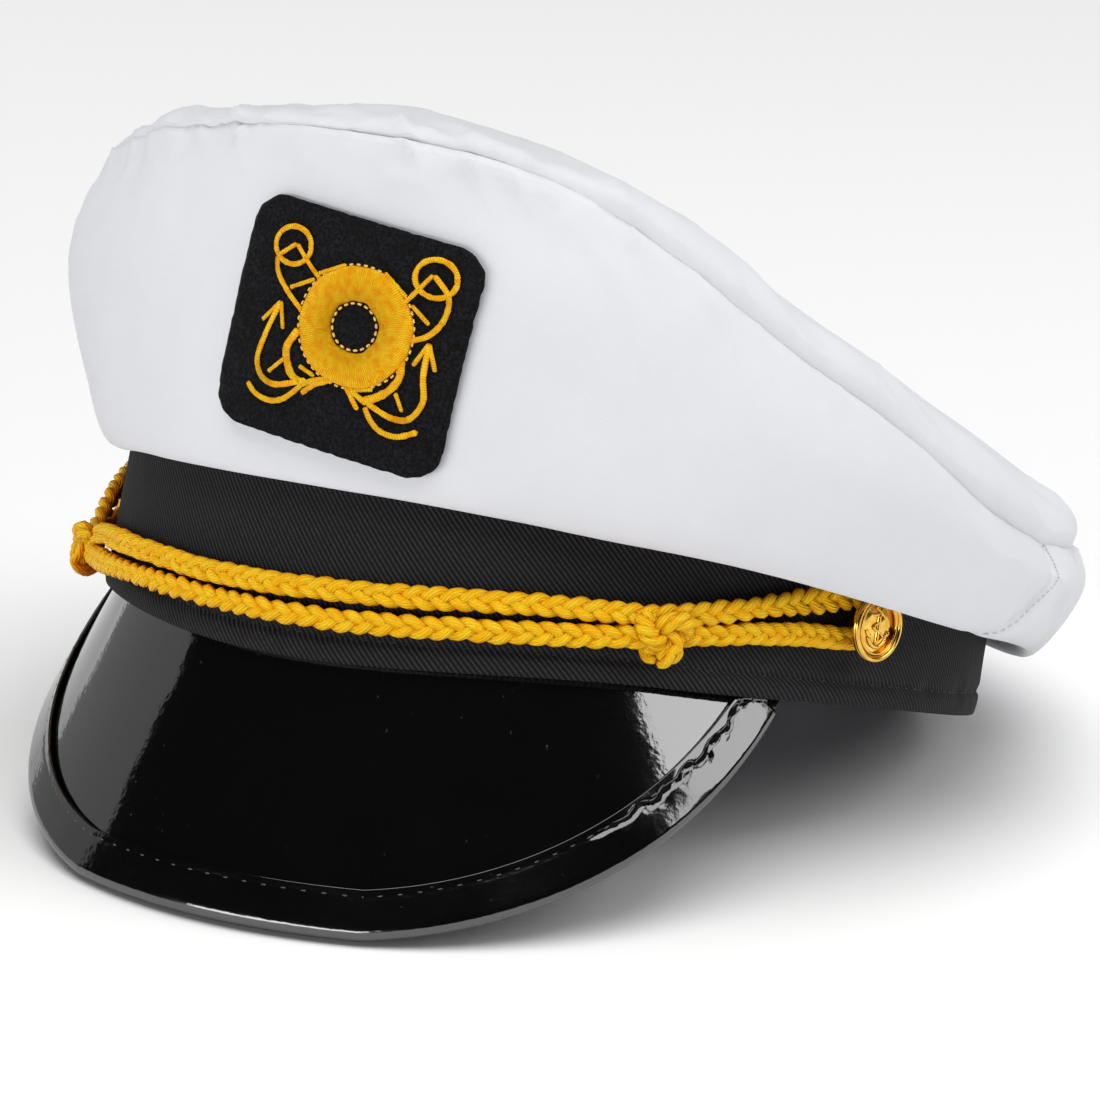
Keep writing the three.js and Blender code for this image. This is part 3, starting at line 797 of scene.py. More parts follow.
class Piece:
    """One mesh of the hat, made of skins that are laid over grids."""

    def __init__(self, name: str) -> None:
        """Starts an empty piece.

        Args:
            name: the piece's name.
        """
        self.name = name
        self.mesh = bmesh.new()
        self.uv = self.mesh.loops.layers.uv.new("surface")

    def skin(self, columns: int, rows: int, placing: Placing, spread: tuple[float, float]) -> None:
        """Lays a grid over a surface.

        Args:
            columns: steps along it.
            rows: steps across it.
            placing: gives a point of the upright hat for a share along and a share across. The skin's
                outer side is the one from which along runs right when across runs up.
            spread: millimetres that the UV map counts along and across.
        """
        made = bmesh.ops.create_grid(self.mesh, x_segments=columns, y_segments=rows, size=0.5)["verts"]
        shares = {vert: (vert.co.x + 0.5, vert.co.y + 0.5) for vert in made}
        for vert in made:
            for loop in vert.link_loops:
                u, v = shares[vert]
                loop[self.uv].uv = (u * spread[0], v * spread[1])
        for vert, (u, v) in shares.items():
            vert.co = FORM.to_row(placing(u, v))

    def stitches(self, count: int, length: float, width: float, placing: StitchPlacing) -> None:
        """Adds short stitches that taper at both ends.

        Args:
            count: how many there are.
            length: length of each one, for its UV map.
            width: thickness of each one at its middle.
            placing: gives a point of the upright hat for a stitch's number, a place along it from -1 to 1,
                and its thickness times the cosine and the sine of the turn round it.
        """
        for number in range(count):

            def place(u: float, v: float, number: int = number) -> Vector:
                """A point of one stitch."""
                along = 2 * u - 1
                thick = width / 2 * math.sqrt(max(1 - along**4, 0))
                turn = 2 * math.pi * v
                return placing(number, along, thick * math.cos(turn), thick * math.sin(turn))

            self.skin(*STITCH_STEPS, place, (length, 1))

    def finish(
        self, material: bpy.types.Material, stands_for: Sequence[str] = (), wall: float = 0.0
    ) -> None:
        """Closes seams and poles, and hands the piece to the frame.

        Args:
            material: its finish.
            stands_for: the model's nodes that it replaces.
            wall: thickness given to the skin inwards, in millimetres.
        """
        bmesh.ops.remove_doubles(self.mesh, verts=self.mesh.verts, dist=0.002 * MILLIMETRE)
        for face in self.mesh.faces:
            face.smooth = True
        data = bpy.data.meshes.new(self.name)
        self.mesh.to_mesh(data)
        self.mesh.free()
        data.materials.append(material)
        piece = bpy.data.objects.new(self.name, data)
        bpy.context.scene.collection.objects.link(piece)
        if wall:
            solidify = piece.modifiers.new("wall", "SOLIDIFY")
            solidify.thickness = wall * MILLIMETRE
            solidify.offset = -1
        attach(piece, "root")
        if stands_for:
            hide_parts(*stands_for)
        log.info("%s: %d faces", self.name, len(data.polygons))


@dataclass
class Crown:
    """The soft white crown: a front and side panel, a back panel and a puffed top panel."""

    columns: int = 340
    rows: int = 44
    top_rows: int = 72
    seam_tuck: float = 0.95
    seam_reach: float = 1.3
    roll: float = 2.1
    roll_at: float = 7.5
    back_puff: float = 1.6
    lip_sag: float = 2.0
    upright_seam: float = 98.0
    upright_bend: float = 12.0
    upright_groove: float = 0.9
    upright_lobe: float = 1.2
    side_roll: float = 0.45
    side_roll_at: float = 9.0
    dent: float = 0.9
    fine_dent: float = 0.3
    slack: float = 1.2
    top_dent: float = 0.55
    top_wave: float = 0.7
    stitch_count: int = 24
    stitch_width: float = 0.32
    stitch_gap: float = 0.9
    crumple_size: float = 1.4
    filled: float = 0.8
    ledge_share: float = 0.015

    def section_length(self, angle: float) -> float:
        """Length of the crown's side in section, in millimetres."""
        points = [FORM.crown_section(angle, k / 8) for k in range(9)]
        return sum((b - a).length for a, b in pairwise(points))

    def calm(self, angle: float, height: float) -> float:
        """0 behind the patch, where the cloth is held flat, and 1 away from it."""
        across = (FORM.place(angle, 0, 0).x - FORM.patch_across) / FORM.patch_width
        up = (height - FORM.patch_up) / FORM.patch_height
        front = 1 if abs(angle) < 60 else 0
        return 1 - front * clamp(2.4 - 3 * max(abs(across), abs(up)))

    def crease(self, angle: float) -> float:
        """How open the top seam's crease is: 1 at the sides and the back, almost 0 across the front."""
        return 1 - 0.95 * clamp((30 - angle) / 22) * clamp((angle + 85) / 25)

    def crumple(self, angle: float, away: float) -> float:
        """Small sharp folds and dents that the top seam gathers in the cloth beside it.

        Args:
            angle: angle round the band, between -180 and 180.
            away: distance from the seam, above 0 on the top panel and below 0 on the side.

        Returns:
            How far the cloth stands out.
        """
        front = 0.35 + hump(angle - 4, 34)
        bent = angle + 0.6 * away
        ridge = clamp(1 - 2.6 * abs(round_ripple(bent, 13, away / 26, 1))) ** 1.6
        fine = clamp(1 - 2.4 * abs(round_ripple(angle - 0.5 * away, 6, away / 12, 4))) ** 1.4
        near = lerp(1, clamp(abs(away) / 2 + 0.25), self.crease(angle))
        folds = ridge * math.exp(-abs(away) / 13) + 0.5 * fine * math.exp(-abs(away) / 6)
        return self.crumple_size * front * near * folds

    def upright_at(self, share: float) -> float:
        """The angle of the upright seams at a share up the side: they bend forwards near the lip."""
        return self.upright_seam - self.upright_bend * (1 - clamp((share - 0.34) / 0.45)) ** 2

    def side_swell(self, angle: float, share: float, height: float) -> float:
        """How far the side's cloth stands out of its plain form."""
        below = (1 - share) * self.section_length(angle)
        from_lip = abs(share - 1 / 3) * self.section_length(angle)
        swell = -self.seam_tuck * self.crease(angle) * hump(below, self.seam_reach)
        uneven = 1 + round_ripple(angle, 34, 0, 3)
        swell += self.side_roll * hump(below - self.side_roll_at, 6) * uneven
        swell += self.crumple(angle, -below) + self.filled * (1 - self.crease(angle)) * hump(below, 5)
        swell += self.dent * round_ripple(angle, 46, height / 40, 5)
        swell += self.fine_dent * round_ripple(angle, 17, height / 21, 7)
        edge = (abs(angle) - self.upright_at(share)) * MEAN_RATE
        swell -= self.upright_groove * hump(edge, 1.5)
        lobe = clamp(edge / 5) * hump(max(edge - 5, 0), 18) * (1 - 0.7 * hump(below, 5))
        swell += self.upright_lobe * lobe
        swell += 0.5 * ripple(below / 4.5, math.copysign(9.5, angle)) * math.exp(-abs(edge) / 6)
        swell -= 0.3 * hump((abs(angle) - FORM.side_seam) * MEAN_RATE, 0.96)
        free = self.calm(angle, height) * clamp((share - 0.12) / 0.2)
        return swell * free * (1 - 0.7 * hump(from_lip, 3))

    def side_point(self, angle: float, share: float, puff: float = 0.0) -> Vector:
        """A point of a side panel, from the hidden ledge on the band up to the top seam."""
        ledge = 1 / self.rows
        if share < ledge / 2:
            corner = FORM.crown_corners(angle)[0]
            return FORM.place(angle, corner.x, corner.y)
        along = (share - ledge) / (1 - ledge)
        point = FORM.crown_section(angle, along)
        step = FORM.crown_section(angle, along + 0.01) - FORM.crown_section(angle, along - 0.01)
        out = Vector((step.y, -step.x, 0)).normalized()
        wrapped = (angle + 180) % 360 - 180
        point += out * (self.side_swell(wrapped, along, point.y) + puff * math.sin(math.pi * along) ** 0.6)
        sag = self.lip_sag * hump(wrapped - 76, 20) * hump(along - 1 / 3, 0.2)
        return FORM.place(angle, point.x, point.y - sag + FORM.clearance / 2 * along**12)

    def top_swell(self, angle: float, share: float) -> float:
        """How far the top's cloth stands out of its plain form."""
        wrapped = (angle + 180) % 360 - 180
        risen = FORM.crown_puff * (1 - share**FORM.puff_power) ** FORM.puff_roundness
        inside = math.hypot((1 - share) * MEAN_RADIUS, risen)
        roll = self.roll * clamp(max((wrapped - 18) / 40, (-70 - wrapped) / 40))
        swell = roll * hump(inside - self.roll_at, 6.5) * (1 + 0.7 * round_ripple(angle, 26, 0, 6))
        swell += self.top_dent * round_ripple(angle + inside, 11, inside / 14, 9) * hump(inside - 6, 7)
        swell -= self.seam_tuck * self.crease(wrapped) * hump(inside, self.seam_reach)
        swell += self.crumple(wrapped, inside) + self.filled * (1 - self.crease(wrapped)) * hump(inside, 5)
        wave = round_ripple(angle, 21, inside / 45, 4) * math.exp(-inside / 30) * clamp(inside / 4)
        swell += self.top_wave * wave
        x = share * math.sin(math.radians(angle))
        y = share * math.cos(math.radians(angle))
        loose = self.slack * ripple(2.1 * x, 2.1 * y, 6) + 0.5 * ripple(5 * x, 5 * y, 8)
        return swell + loose * clamp(inside / 12)

    def top_place(self, angle: float, share: float) -> Vector:
        """A point of the top panel with its swell."""
        point = FORM.top_point(angle, share)
        point.z -= FORM.clearance / 2 * share**200
        if share < 0.01:
            return point + Vector((0, 0, self.top_swell(0, 0)))
        around = FORM.top_point(angle + 1.5, share) - FORM.top_point(angle - 1.5, share)
        inwards = FORM.top_point(angle, share - 0.01) - FORM.top_point(angle, min(share + 0.01, 0.999))
        return point + around.cross(inwards).normalized() * self.top_swell(angle, share)

    def seam_stitch(self, side: int, number: int, along: float, c: float, s: float) -> Vector:
        """A point of one stitch beside the upright seam on a side, as `Piece.stitches` asks for it."""
        share = lerp(0.38, 0.97, number / (self.stitch_count - 1)) + 0.008 * along
        angle = side * (self.upright_at(share - self.ledge_share) + self.stitch_gap + 0.6 * c)
        return self.side_point(angle, share) + FORM.outward(angle) * (0.1 + s * side)

    def seam_stitches(self) -> None:
        """Makes the short stitches beside both upright seams."""
        stitches = Piece("crown_seam_stitches")
        for side in (-1, 1):
            stitches.stitches(self.stitch_count, 1.4, self.stitch_width, partial(self.seam_stitch, side))
        stitches.finish(SewingThread("seam_thread", (0.80, 0.80, 0.84)).material())

    def build(self) -> None:
        """Makes and dresses the three panels."""
        cloth = CrownCloth().material()
        gap = FORM.clearance / 2 / FORM.arc_rate(FORM.side_seam)
        seam = FORM.side_seam - gap
        front = Piece("crown_front_panel")

        def closeness(angle: float) -> float:
            """How close the columns stand: closest beside the upright seams."""
            return 1 + 4 * hump(abs(angle) - self.upright_seam, 2.5)

        angles = spread_steps(-seam, seam, self.columns, closeness)

        def front_place(u: float, v: float) -> Vector:
            """A point of the front panel, with close columns that follow the upright seams."""
            angle = angles[round(u * self.columns)]
            near = clamp(1 - abs(abs(angle) - self.upright_seam) / 19)
            bend = (self.upright_at(v - self.ledge_share) - self.upright_seam) * near
            return self.side_point(angle + math.copysign(bend, angle), v)

        front.skin(self.columns, self.rows, front_place, (380, 70))
        front.finish(cloth, ["crown_front"], FORM.cloth_wall)
        start = FORM.side_seam + gap

        def back_place(u: float, v: float) -> Vector:
            """A point of the back panel, which puffs out past its seams."""
            puff = self.back_puff * clamp(6 * min(u, 1 - u)) ** 0.5
            return self.side_point(lerp(start, 360 - start, u), v, puff)

        back = Piece("crown_back_panel")
        back.skin(self.columns // 2, self.rows, back_place, (200, 60))
        back.finish(cloth, ["crown_back"], FORM.cloth_wall)
        self.seam_stitches()
        top = Piece("crown_top_panel")

        def top_place(u: float, v: float) -> Vector:
            """A point of the top panel, with closer rows near the seam and its allowance turned in."""
            angle = lerp(-180, 180, u)
            allowance = 1 / self.top_rows
            if v < allowance / 2:
                return FORM.place(angle, FORM.seam_out(angle) - 1.8, FORM.seam_height(angle) - 2.2)
            return self.top_place(angle, 1 - ((v - allowance) / (1 - allowance)) ** 1.5)

        top.skin(self.columns, self.top_rows, top_place, (560, 110))
        top.finish(cloth, ["crown_top"], FORM.cloth_wall)


@dataclass
class Band:
    """The upright twill band, with a turned hem sewn along its lower edge."""

    columns: int = 480
    rows: int = 44
    girth: float = 575.0
    hem: float = 4.2
    hem_lift: float = 0.3
    groove: float = 0.45
    pucker: float = 0.24
    unevenness: float = 0.2
    stitch_pitch: float = 2.8
    stitch_length: float = 1.9
    stitch_width: float = 0.3

    def face(self, angle: float, above: float, lift: float = 0.0) -> Vector:
        """A point of the band's outer face by its height above the lower edge."""
        low = FORM.place(angle, 0, FORM.band_edge(angle))
        low.z = max(low.z, FORM.rest_height(low.y))
        height = low.z + above * (FORM.band_height - low.z) / FORM.band_height
        swell = self.hem_lift * clamp((self.hem - above) / 0.8)
        swell -= self.groove * hump(above - self.hem, 0.7) * (1 + 0.5 * round_ripple(angle, 5, 0, 1))
        swell += self.pucker * round_ripple(angle, 7, above / 12, 2) * hump(above - self.hem, 4)
        swell += self.unevenness * round_ripple(angle, 40, above / 30, 3)
        swell *= clamp(above / 1.5)
        return FORM.place(angle, swell + lift, height)

    def build(self) -> None:
        """Makes and dresses the band and its stitches."""
        band = Piece("band_cloth")
        band.skin(
            self.columns,
            self.rows,
            lambda u, v: self.face(lerp(-180, 180, u), v * FORM.band_height),
            (self.girth, FORM.band_height),
        )
        band.finish(BandTwill().material(), ["band"], FORM.band_wall)
        stitches = Piece("hem_stitches")
        count = round(self.girth / self.stitch_pitch)

        def stitch(number: int, along: float, c: float, s: float) -> Vector:
            """A point of one stitch, as `Piece.stitches` asks for it."""
            middle = 360 * number / count - 180
            angle = middle + along / 2 * self.stitch_length / FORM.arc_rate(middle)
            return self.face(angle, self.hem + s, 0.02 - 0.25 * along**2 - 0.6 * c)

        stitches.stitches(count, self.stitch_length, self.stitch_width, stitch)
        stitches.finish(SewingThread("hem_thread", (0.004, 0.004, 0.005), 0.7).material())


@dataclass
class Peak:
    """The glossy peak and the strip that is folded over its edge and sewn down."""

    columns: int = 220
    rows: int = 44
    edge_rows: int = 44
    shown: float = 0.84
    stitch_pitch: float = 3.9
    stitch_in: float = 6.7
    stitch_length: float = 2.2
    stitch_width: float = 0.34
    pucker: float = 0.75
    gather_from: float = 0.80

    def plate(self, u: float, v: float) -> Vector:
        """A point of the plate's outer face, from its edge up to the part tucked inside the band."""
        angle = lerp(-FORM.peak_spread, FORM.peak_spread, u)
        if v <= self.shown:
            along = FORM.peak_reach(angle) * (1 - v / self.shown)
            calm = clamp(along / 10) * clamp((FORM.peak_reach(angle) - along) / 8)
            return FORM.peak_point(angle, along, 0.12 * calm * ripple(angle / 22, along / 30, 4))
        tucked = -(FORM.band_wall + FORM.clearance)
        low = FORM.band_edge(angle)
        tucked_share = (v - self.shown) / (1 - self.shown)
        return FORM.place(angle, tucked, lerp(low, FORM.peak_tuck, tucked_share))

    @cached_property
    def edge_table(self) -> list[tuple[float, float]]:
        """Length along the peak's edge at closely spaced angles."""
        steps = 400
        limit = FORM.peak_spread * 0.975
        table = [(-limit, 0.0)]
        for k in range(1, steps + 1):
            angle = lerp(-limit, limit, k / steps)
            step = FORM.binding_point(angle, 0, 0) - FORM.binding_point(table[-1][0], 0, 0)
            table.append((angle, table[-1][1] + step.length))
        return table

    def edge_angle(self, length: float) -> float:
        """The angle at a length along the peak's edge."""
        for (a, la), (b, lb) in pairwise(self.edge_table):
            if length <= lb:
                return lerp(a, b, (length - la) / (lb - la))
        return self.edge_table[-1][0]

    def strip(self, length: float, in_from_edge: float, lift: float) -> Vector:
        """A point of the folded strip, by length along the edge."""
        return FORM.binding_point(self.edge_angle(length), in_from_edge, lift)

    def gathered(self, length: float) -> float:
        """How much the stitching gathers the strip: a little, and fully near the wearer's left end."""
        return 0.05 + 0.95 * clamp((length / self.edge_table[-1][1] - self.gather_from) / 0.05)

    def stitch_line(self, length: float) -> float:
        """How far in from the peak's edge the stitching runs."""
        return self.stitch_in - 1.1 * self.gathered(length) * clamp(0.55 + ripple(length / 4.2, 0, 8))

    def thread_and_crease_shade(self, total: float) -> None:
        """Makes the thick uneven thread that has sunk into the gathered end of the strip; near black and
        matt, it also paints the shade of the crease there.

        Args:
            total: length of the peak's edge.
        """
        start, end = total * (self.gather_from + 0.02), total * 0.985
        piece = Piece("peak_gathered_thread_and_crease_shade")

        def place(u: float, v: float) -> Vector:
            """A point of the thread."""
            turn = 2 * math.pi * v
            length = lerp(start, end, u)
            thick = 0.22 + 0.42 * clamp(0.2 + ripple(length / 2.2, 0, 3))
            thick *= clamp(min(u, 1 - u) * 30) ** 0.5
            aside = 0.35 * ripple(length / 1.7, 0, 6) + 0.15
            lift = FORM.binding_out - 0.16 + 0.4 * thick * math.cos(turn)
            return self.strip(length, self.stitch_line(length) + aside + thick * math.sin(turn), lift)

        piece.skin(240, 8, place, (end - start, 2))
        # Painted shade: near black, without sheen and with little shine, so the thread also darkens the
        # crease as its shade would.
        thread = SewingThread("peak_sunk_thread_and_crease_shade", (0.001, 0.001, 0.001), 0.7, 0.0, 0.1)
        piece.finish(thread.material())

    def fold(self, length: float, v: float) -> tuple[float, float]:
        """The strip's section, from the inner face round the edge to the outer face.

        Args:
            length: length along the peak's edge.
            v: share across the strip.

        Returns:
            Distance in from the peak's edge, and lift out of the peak's face.
        """
        radius = (FORM.binding_out - FORM.binding_in) / 2
        middle = (FORM.binding_out + FORM.binding_in) / 2
        turn_at = radius - FORM.binding_out
        if v < 0.35:
            return lerp(FORM.binding_width, turn_at, v / 0.35), FORM.binding_in
        if v < 0.6:
            turn = math.pi * (v - 0.35) / 0.25
            return turn_at - radius * math.sin(turn), middle - radius * math.cos(turn)
        inward = lerp(turn_at, FORM.binding_width, 1 - (1 - (v - 0.6) / 0.4) ** 1.5)
        beat = 0.5 + 0.5 * math.cos(2 * math.pi * length / self.stitch_pitch)
        gathered = self.gathered(length)
        line = self.stitch_line(length)
        dent = self.pucker * hump(inward - line, 0.38) * (0.6 + 0.4 * beat) * (0.04 + gathered)
        dent += 0.35 * gathered * hump(inward - line + 1.0, 0.4) * clamp(3 * ripple(length / 3.1, 1, 2))
        wave = 0.1 * gathered * ripple(length / 8, inward / 7, 5) * clamp(inward / 2)
        dent = min(dent, FORM.binding_out - 0.1)
        return inward, FORM.binding_out - dent + wave

    def build(self) -> None:
        """Makes and dresses the plate, the binding and its stitches."""
        plate = Piece("peak_plate")
        plate.skin(self.columns, self.rows, self.plate, (230, 55))
        plate.finish(GlossVinyl("peak_vinyl").material(), ["peak"], FORM.peak_wall)
        total = self.edge_table[-1][1]
        binding = Piece("peak_edge_binding")
        binding.skin(
            round(total / 0.75),
            self.edge_rows,
            lambda u, v: self.strip(u * total, *self.fold(u * total, v)),
            (total, 20),
        )
        vinyl = GlossVinyl("binding_vinyl", roughness=0.08, waviness=0.09, index=1.75).material()
        binding.finish(vinyl, ["peak_binding"], FORM.binding_wall)
        stitches = Piece("peak_stitches")

        def stitch(number: int, along: float, c: float, s: float) -> Vector:
            """A point of one stitch, as `Piece.stitches` asks for it."""
            length = (number + 0.5) * self.stitch_pitch + along / 2 * self.stitch_length
            lift = FORM.binding_out - 0.12 - 0.3 * along**2 + c
            return self.strip(length, self.stitch_in + s, lift)

        stitches.stitches(int(total / self.stitch_pitch), self.stitch_length, self.stitch_width, stitch)
        stitches.finish(SewingThread("peak_thread", (0.05, 0.05, 0.055), 0.15).material())
        self.thread_and_crease_shade(total)


# The cord's route, as in the model: angle, drop below the top of the band, distance out past lying.
CORD_ROUTE = (
    (-50, 22.4, 1.5), (-43, 20.6, 0), (-33, 20.4, 0), (-24, 20.8, 0), (-10, 21.6, 0), (2, 21.4, 0),
    (17, 20, 0), (28, 18.4, 0), (38, 17.4, 0.5), (46, 17, 1.6), (54, 15, 0.3), (62, 12.2, 0),
    (68.5, 10.3, 0), (72.8, 9.5, 0), (76.2, 11.2, 0), (77.3, 13.6, 0), (76, 16.6, 0), (71.5, 17.4, 0),
    (65, 17.4, 0), (54.5, 19, 0), (46, 20.8, 1.6), (38, 22.2, 0.5), (28.5, 23.6, 0), (17.5, 25.2, 0),
    (8, 26.2, 0), (-3.5, 26.4, 0), (-18.5, 25.8, 0), (-33, 25.4, 0), (-43, 25.4, 0.2), (-50, 24.6, 1.6),
    (-57, 21.6, 0.6), (-63, 19.4, 0), (-71, 19.7, 0), (-76.2, 18, 0), (-77.4, 14, 0), (-73.8, 9.2, 0),
    (-66, 9.4, 0), (-58, 14.6, 0.6), (-51, 22, 1.6),
)
KNOTS = ((-50, 23.6), (47, 19.6))
BUTTON_ANGLE = 73.5


@dataclass
class Cord:
    """The doubled gold cord: a three-strand plait, drawn together by two knots."""

    lying: float = 2.35
    plait: float = 10.6
    sway: float = 1.2
    weave: float = 0.6
    strand: float = 1.0
    yarns: int = 4
    twist: float = 5.2
    steps_each: float = 0.62
    sides: int = 10
    knot_size: float = 1.5
    knot_strand: float = 0.95
    knot_turns: int = 5

    @cached_property
    def route(self) -> list[Vector]:
        """Points of the cord's middle line."""
        return [FORM.place(a, self.lying + out, FORM.band_height - drop) for a, drop, out in CORD_ROUTE]

    @cached_property
    def even_route(self) -> tuple[list[Vector], float]:
        """The middle line at even steps, and its length."""
        steps = 3000
        fine = [on_curve(self.route, k / steps) for k in range(steps + 1)]
        lengths = [0.0, *accumulate((b - a).length for a, b in pairwise(fine))]
        picks = even_picks(lengths, round(lengths[-1] / self.steps_each))
        return [fine[at].lerp(fine[at + 1], share) for at, share in picks], lengths[-1]

    def band_normal(self, point: Vector) -> Vector:
        """Direction out of the band beside a point."""
        return Vector((point.x / FORM.band_width**2, point.y / FORM.band_length**2, 0)).normalized()

    def strand_line(self, number: int) -> list[Vector]:
        """Middle line of one strand of the plait."""
        even, length = self.even_route
        line = []
        last = len(even) - 1
        for k, point in enumerate(even):
            along = (even[min(k + 1, last)] - even[max(k - 1, 0)]).normalized()
            out = self.band_normal(point)
            side = along.cross(out).normalized()
            angle = math.degrees(math.atan2(point.x / FORM.band_width, -point.y / FORM.band_length))
            splayed = hump(angle - 68, 6) * clamp((point.z - FORM.band_height + 14) / 2)
            at = length * k / last
            loose = 1 + 0.16 * ripple(at / 24, 0, 12) + 0.5 * splayed
            phase = 2 * math.pi * (at / self.plait + number / 3 + 0.07 * ripple(at / 18, 0, 14))
            own = 0.16 * ripple(at / 7, number, 15)
            sway = self.sway * loose * math.sin(phase) + own
            line.append(point + side * sway + out * (self.weave * math.sin(2 * phase) + own))
        return line

    def tube(self, piece: Piece, line: list[Vector], radius: float, lobes: int, twist: float) -> None:
        """Adds a tube with twisted lobes along a line.

        Args:
            piece: the piece that gets it.
            line: its middle line.
            radius: its radius.
            lobes: yarns that show round it.
            twist: millimetres for one turn of the yarns.
        """
        last = len(line) - 1
        length = sum((b - a).length for a, b in pairwise(line))

        def place(u: float, v: float) -> Vector:
            """A point of the tube."""
            k = round(u * last)
            along = (line[min(k + 1, last)] - line[max(k - 1, 0)]).normalized()
            out = self.band_normal(line[k])
            side = along.cross(out).normalized()
            out = side.cross(along)
            turn = 2 * math.pi * v
            end = math.sqrt(clamp(min(k, last - k) / 2))
            lobe = 1 + 0.07 * math.cos(lobes * turn + 2 * math.pi * u * length / twist)
            reach = radius * lobe * end
            return line[k] + side * (reach * math.cos(turn)) - out * (reach * math.sin(turn))

        piece.skin(last, self.sides, place, (length, GoldYarn.girth))

    def knot_line(self, angle: float, drop: float, number: int) -> list[Vector]:
        """Middle line of a tight overhand knot's core, as a flattened three-lobed loop."""
        steps = 150
        out = FORM.outward(angle)
        up = Vector((0, 0, 1))
        along = up.cross(out)
        centre = FORM.place(angle, 4.6, FORM.band_height - drop - 0.4)
        line = []
        for k in range(steps + 1):
            t = 2 * math.pi * k / steps + number
            x = math.sin(t) + 2 * math.sin(2 * t)
            y = math.cos(t) - 2 * math.cos(2 * t)
            z = -math.sin(3 * t)
            size = self.knot_size
            flat = along * (x * size * 1.06) + up * (y * size * 0.95)
            line.append(centre + flat + out * (z * size * 1.05))
        return line

    def build(self) -> None:
        """Makes and dresses the cord with its knots."""
        cord = Piece("plaited_cord")
        for number in range(3):
            self.tube(cord, self.strand_line(number), self.strand, self.yarns, self.twist)
        for number, (angle, drop) in enumerate(KNOTS):
            core = self.knot_line(angle, drop, 0.9 + 2.2 * number)
            for strand in range(3):
                line = []
                for k, point in enumerate(core):
                    ahead = (core[(k + 1) % (len(core) - 1)] - point).normalized()
                    side = ahead.cross(Vector((0, 0, 1))).normalized()
                    over = side.cross(ahead)
                    turn = 2 * math.pi * (strand / 3 + self.knot_turns * k / (len(core) - 1))
                    line.append(point + (side * math.cos(turn) + over * math.sin(turn)) * self.knot_strand)
                self.tube(cord, line, self.knot_strand, self.yarns, self.twist)
        cord.finish(GoldYarn("cord_gold").material(), ["gold_cord"])
        log.info("cord length: %.0f mm", self.even_route[1])


@dataclass(frozen=True)
class Stroke:
    """One embroidered stroke: points across and up from the patch's middle, and its width."""

    points: tuple[tuple[float, float], ...]
    width: float = 1.15


STROKES = (
    Stroke(((-15.3, 10.2), (-14.4, 7.6), (-11.6, 4.8), (-7.5, 2.0))),
    Stroke(((-15.3, 10.2), (-12.0, 13.3)), 1.0),
    Stroke(((-12.0, 13.3), (-7.6, 9.8), (-4.5, 7.8)), 1.0),
    Stroke(((-11.3, 5.4), (-6.6, 8.3)), 0.9),
    Stroke(((-6.4, 9.3), (-1.4, 12.3)), 0.9),
    Stroke(((14.2, 15.0), (17.5, 12.2), (18.1, 9.8), (17.6, 7.0), (15.8, 4.3), (12.7, 2.5)), 1.2),
    Stroke(((10.4, 8.4), (14.2, 15.0)), 1.0),
    Stroke(((5.7, 13.0), (10.8, 9.8)), 0.9),
    Stroke(((11.8, 8.9), (15.8, 6.3)), 0.9),
    Stroke(((-12.3, 2.7), (-14.0, -3.9), (-14.5, -8.6), (-13.0, -11.1), (-10.1, -11.9), (-3.7, -9.4)), 1.3),
    Stroke(((-12.3, 2.7), (-15.4, -1.7)), 0.95),
    Stroke(((-12.3, 2.7), (-10.6, -2.1)), 0.95),
    Stroke(
        ((-15.7, -12.9), (-13.4, -14.5), (-10.1, -14.9), (-7.7, -14.0), (-5.9, -12.3), (-4.3, -10.3)), 1.2
    ),
    Stroke(((-7.4, -1.0), (-9.0, -4.8), (-8.4, -7.0), (-6.9, -9.2), (-4.3, -10.3)), 1.7),
    Stroke(((-11.8, -10.2), (-8.9, -6.8)), 0.9),
    Stroke(((-5.9, -7.3), (-2.3, -8.3)), 0.9),
    Stroke(((-4.2, -12.0), (-1.9, -9.7), (1.8, -7.6)), 1.2),
    Stroke(((-4.6, -10.5), (-1.8, -8.8), (1.8, -7.6)), 1.2),
    Stroke(((16.5, 3.3), (16.8, -2.6), (17.7, -7.1), (15.9, -10.7), (13.2, -11.3), (8.2, -10.0)), 1.3),
    Stroke(((16.5, 3.3), (14.6, -1.5)), 0.95),
    Stroke(((16.5, 3.3), (18.6, -1.4)), 0.95),
    Stroke(((8.0, -10.7), (9.6, -12.8), (11.6, -14.1), (14.6, -14.2), (18.0, -12.3)), 1.2),
    Stroke(((12.4, -0.7), (12.9, -3.9), (11.8, -6.5), (9.7, -8.6), (7.1, -10.2)), 1.7),
    Stroke(((12.7, -6.7), (14.7, -9.8)), 0.9),
    Stroke(((3.0, -7.4), (4.5, -9.0), (7.0, -11.8)), 1.1),
    Stroke(((3.3, -7.4), (5.3, -8.8), (8.0, -10.1)), 1.2),
    Stroke(((5.3, -8.6), (8.9, -7.4)), 0.9),
)


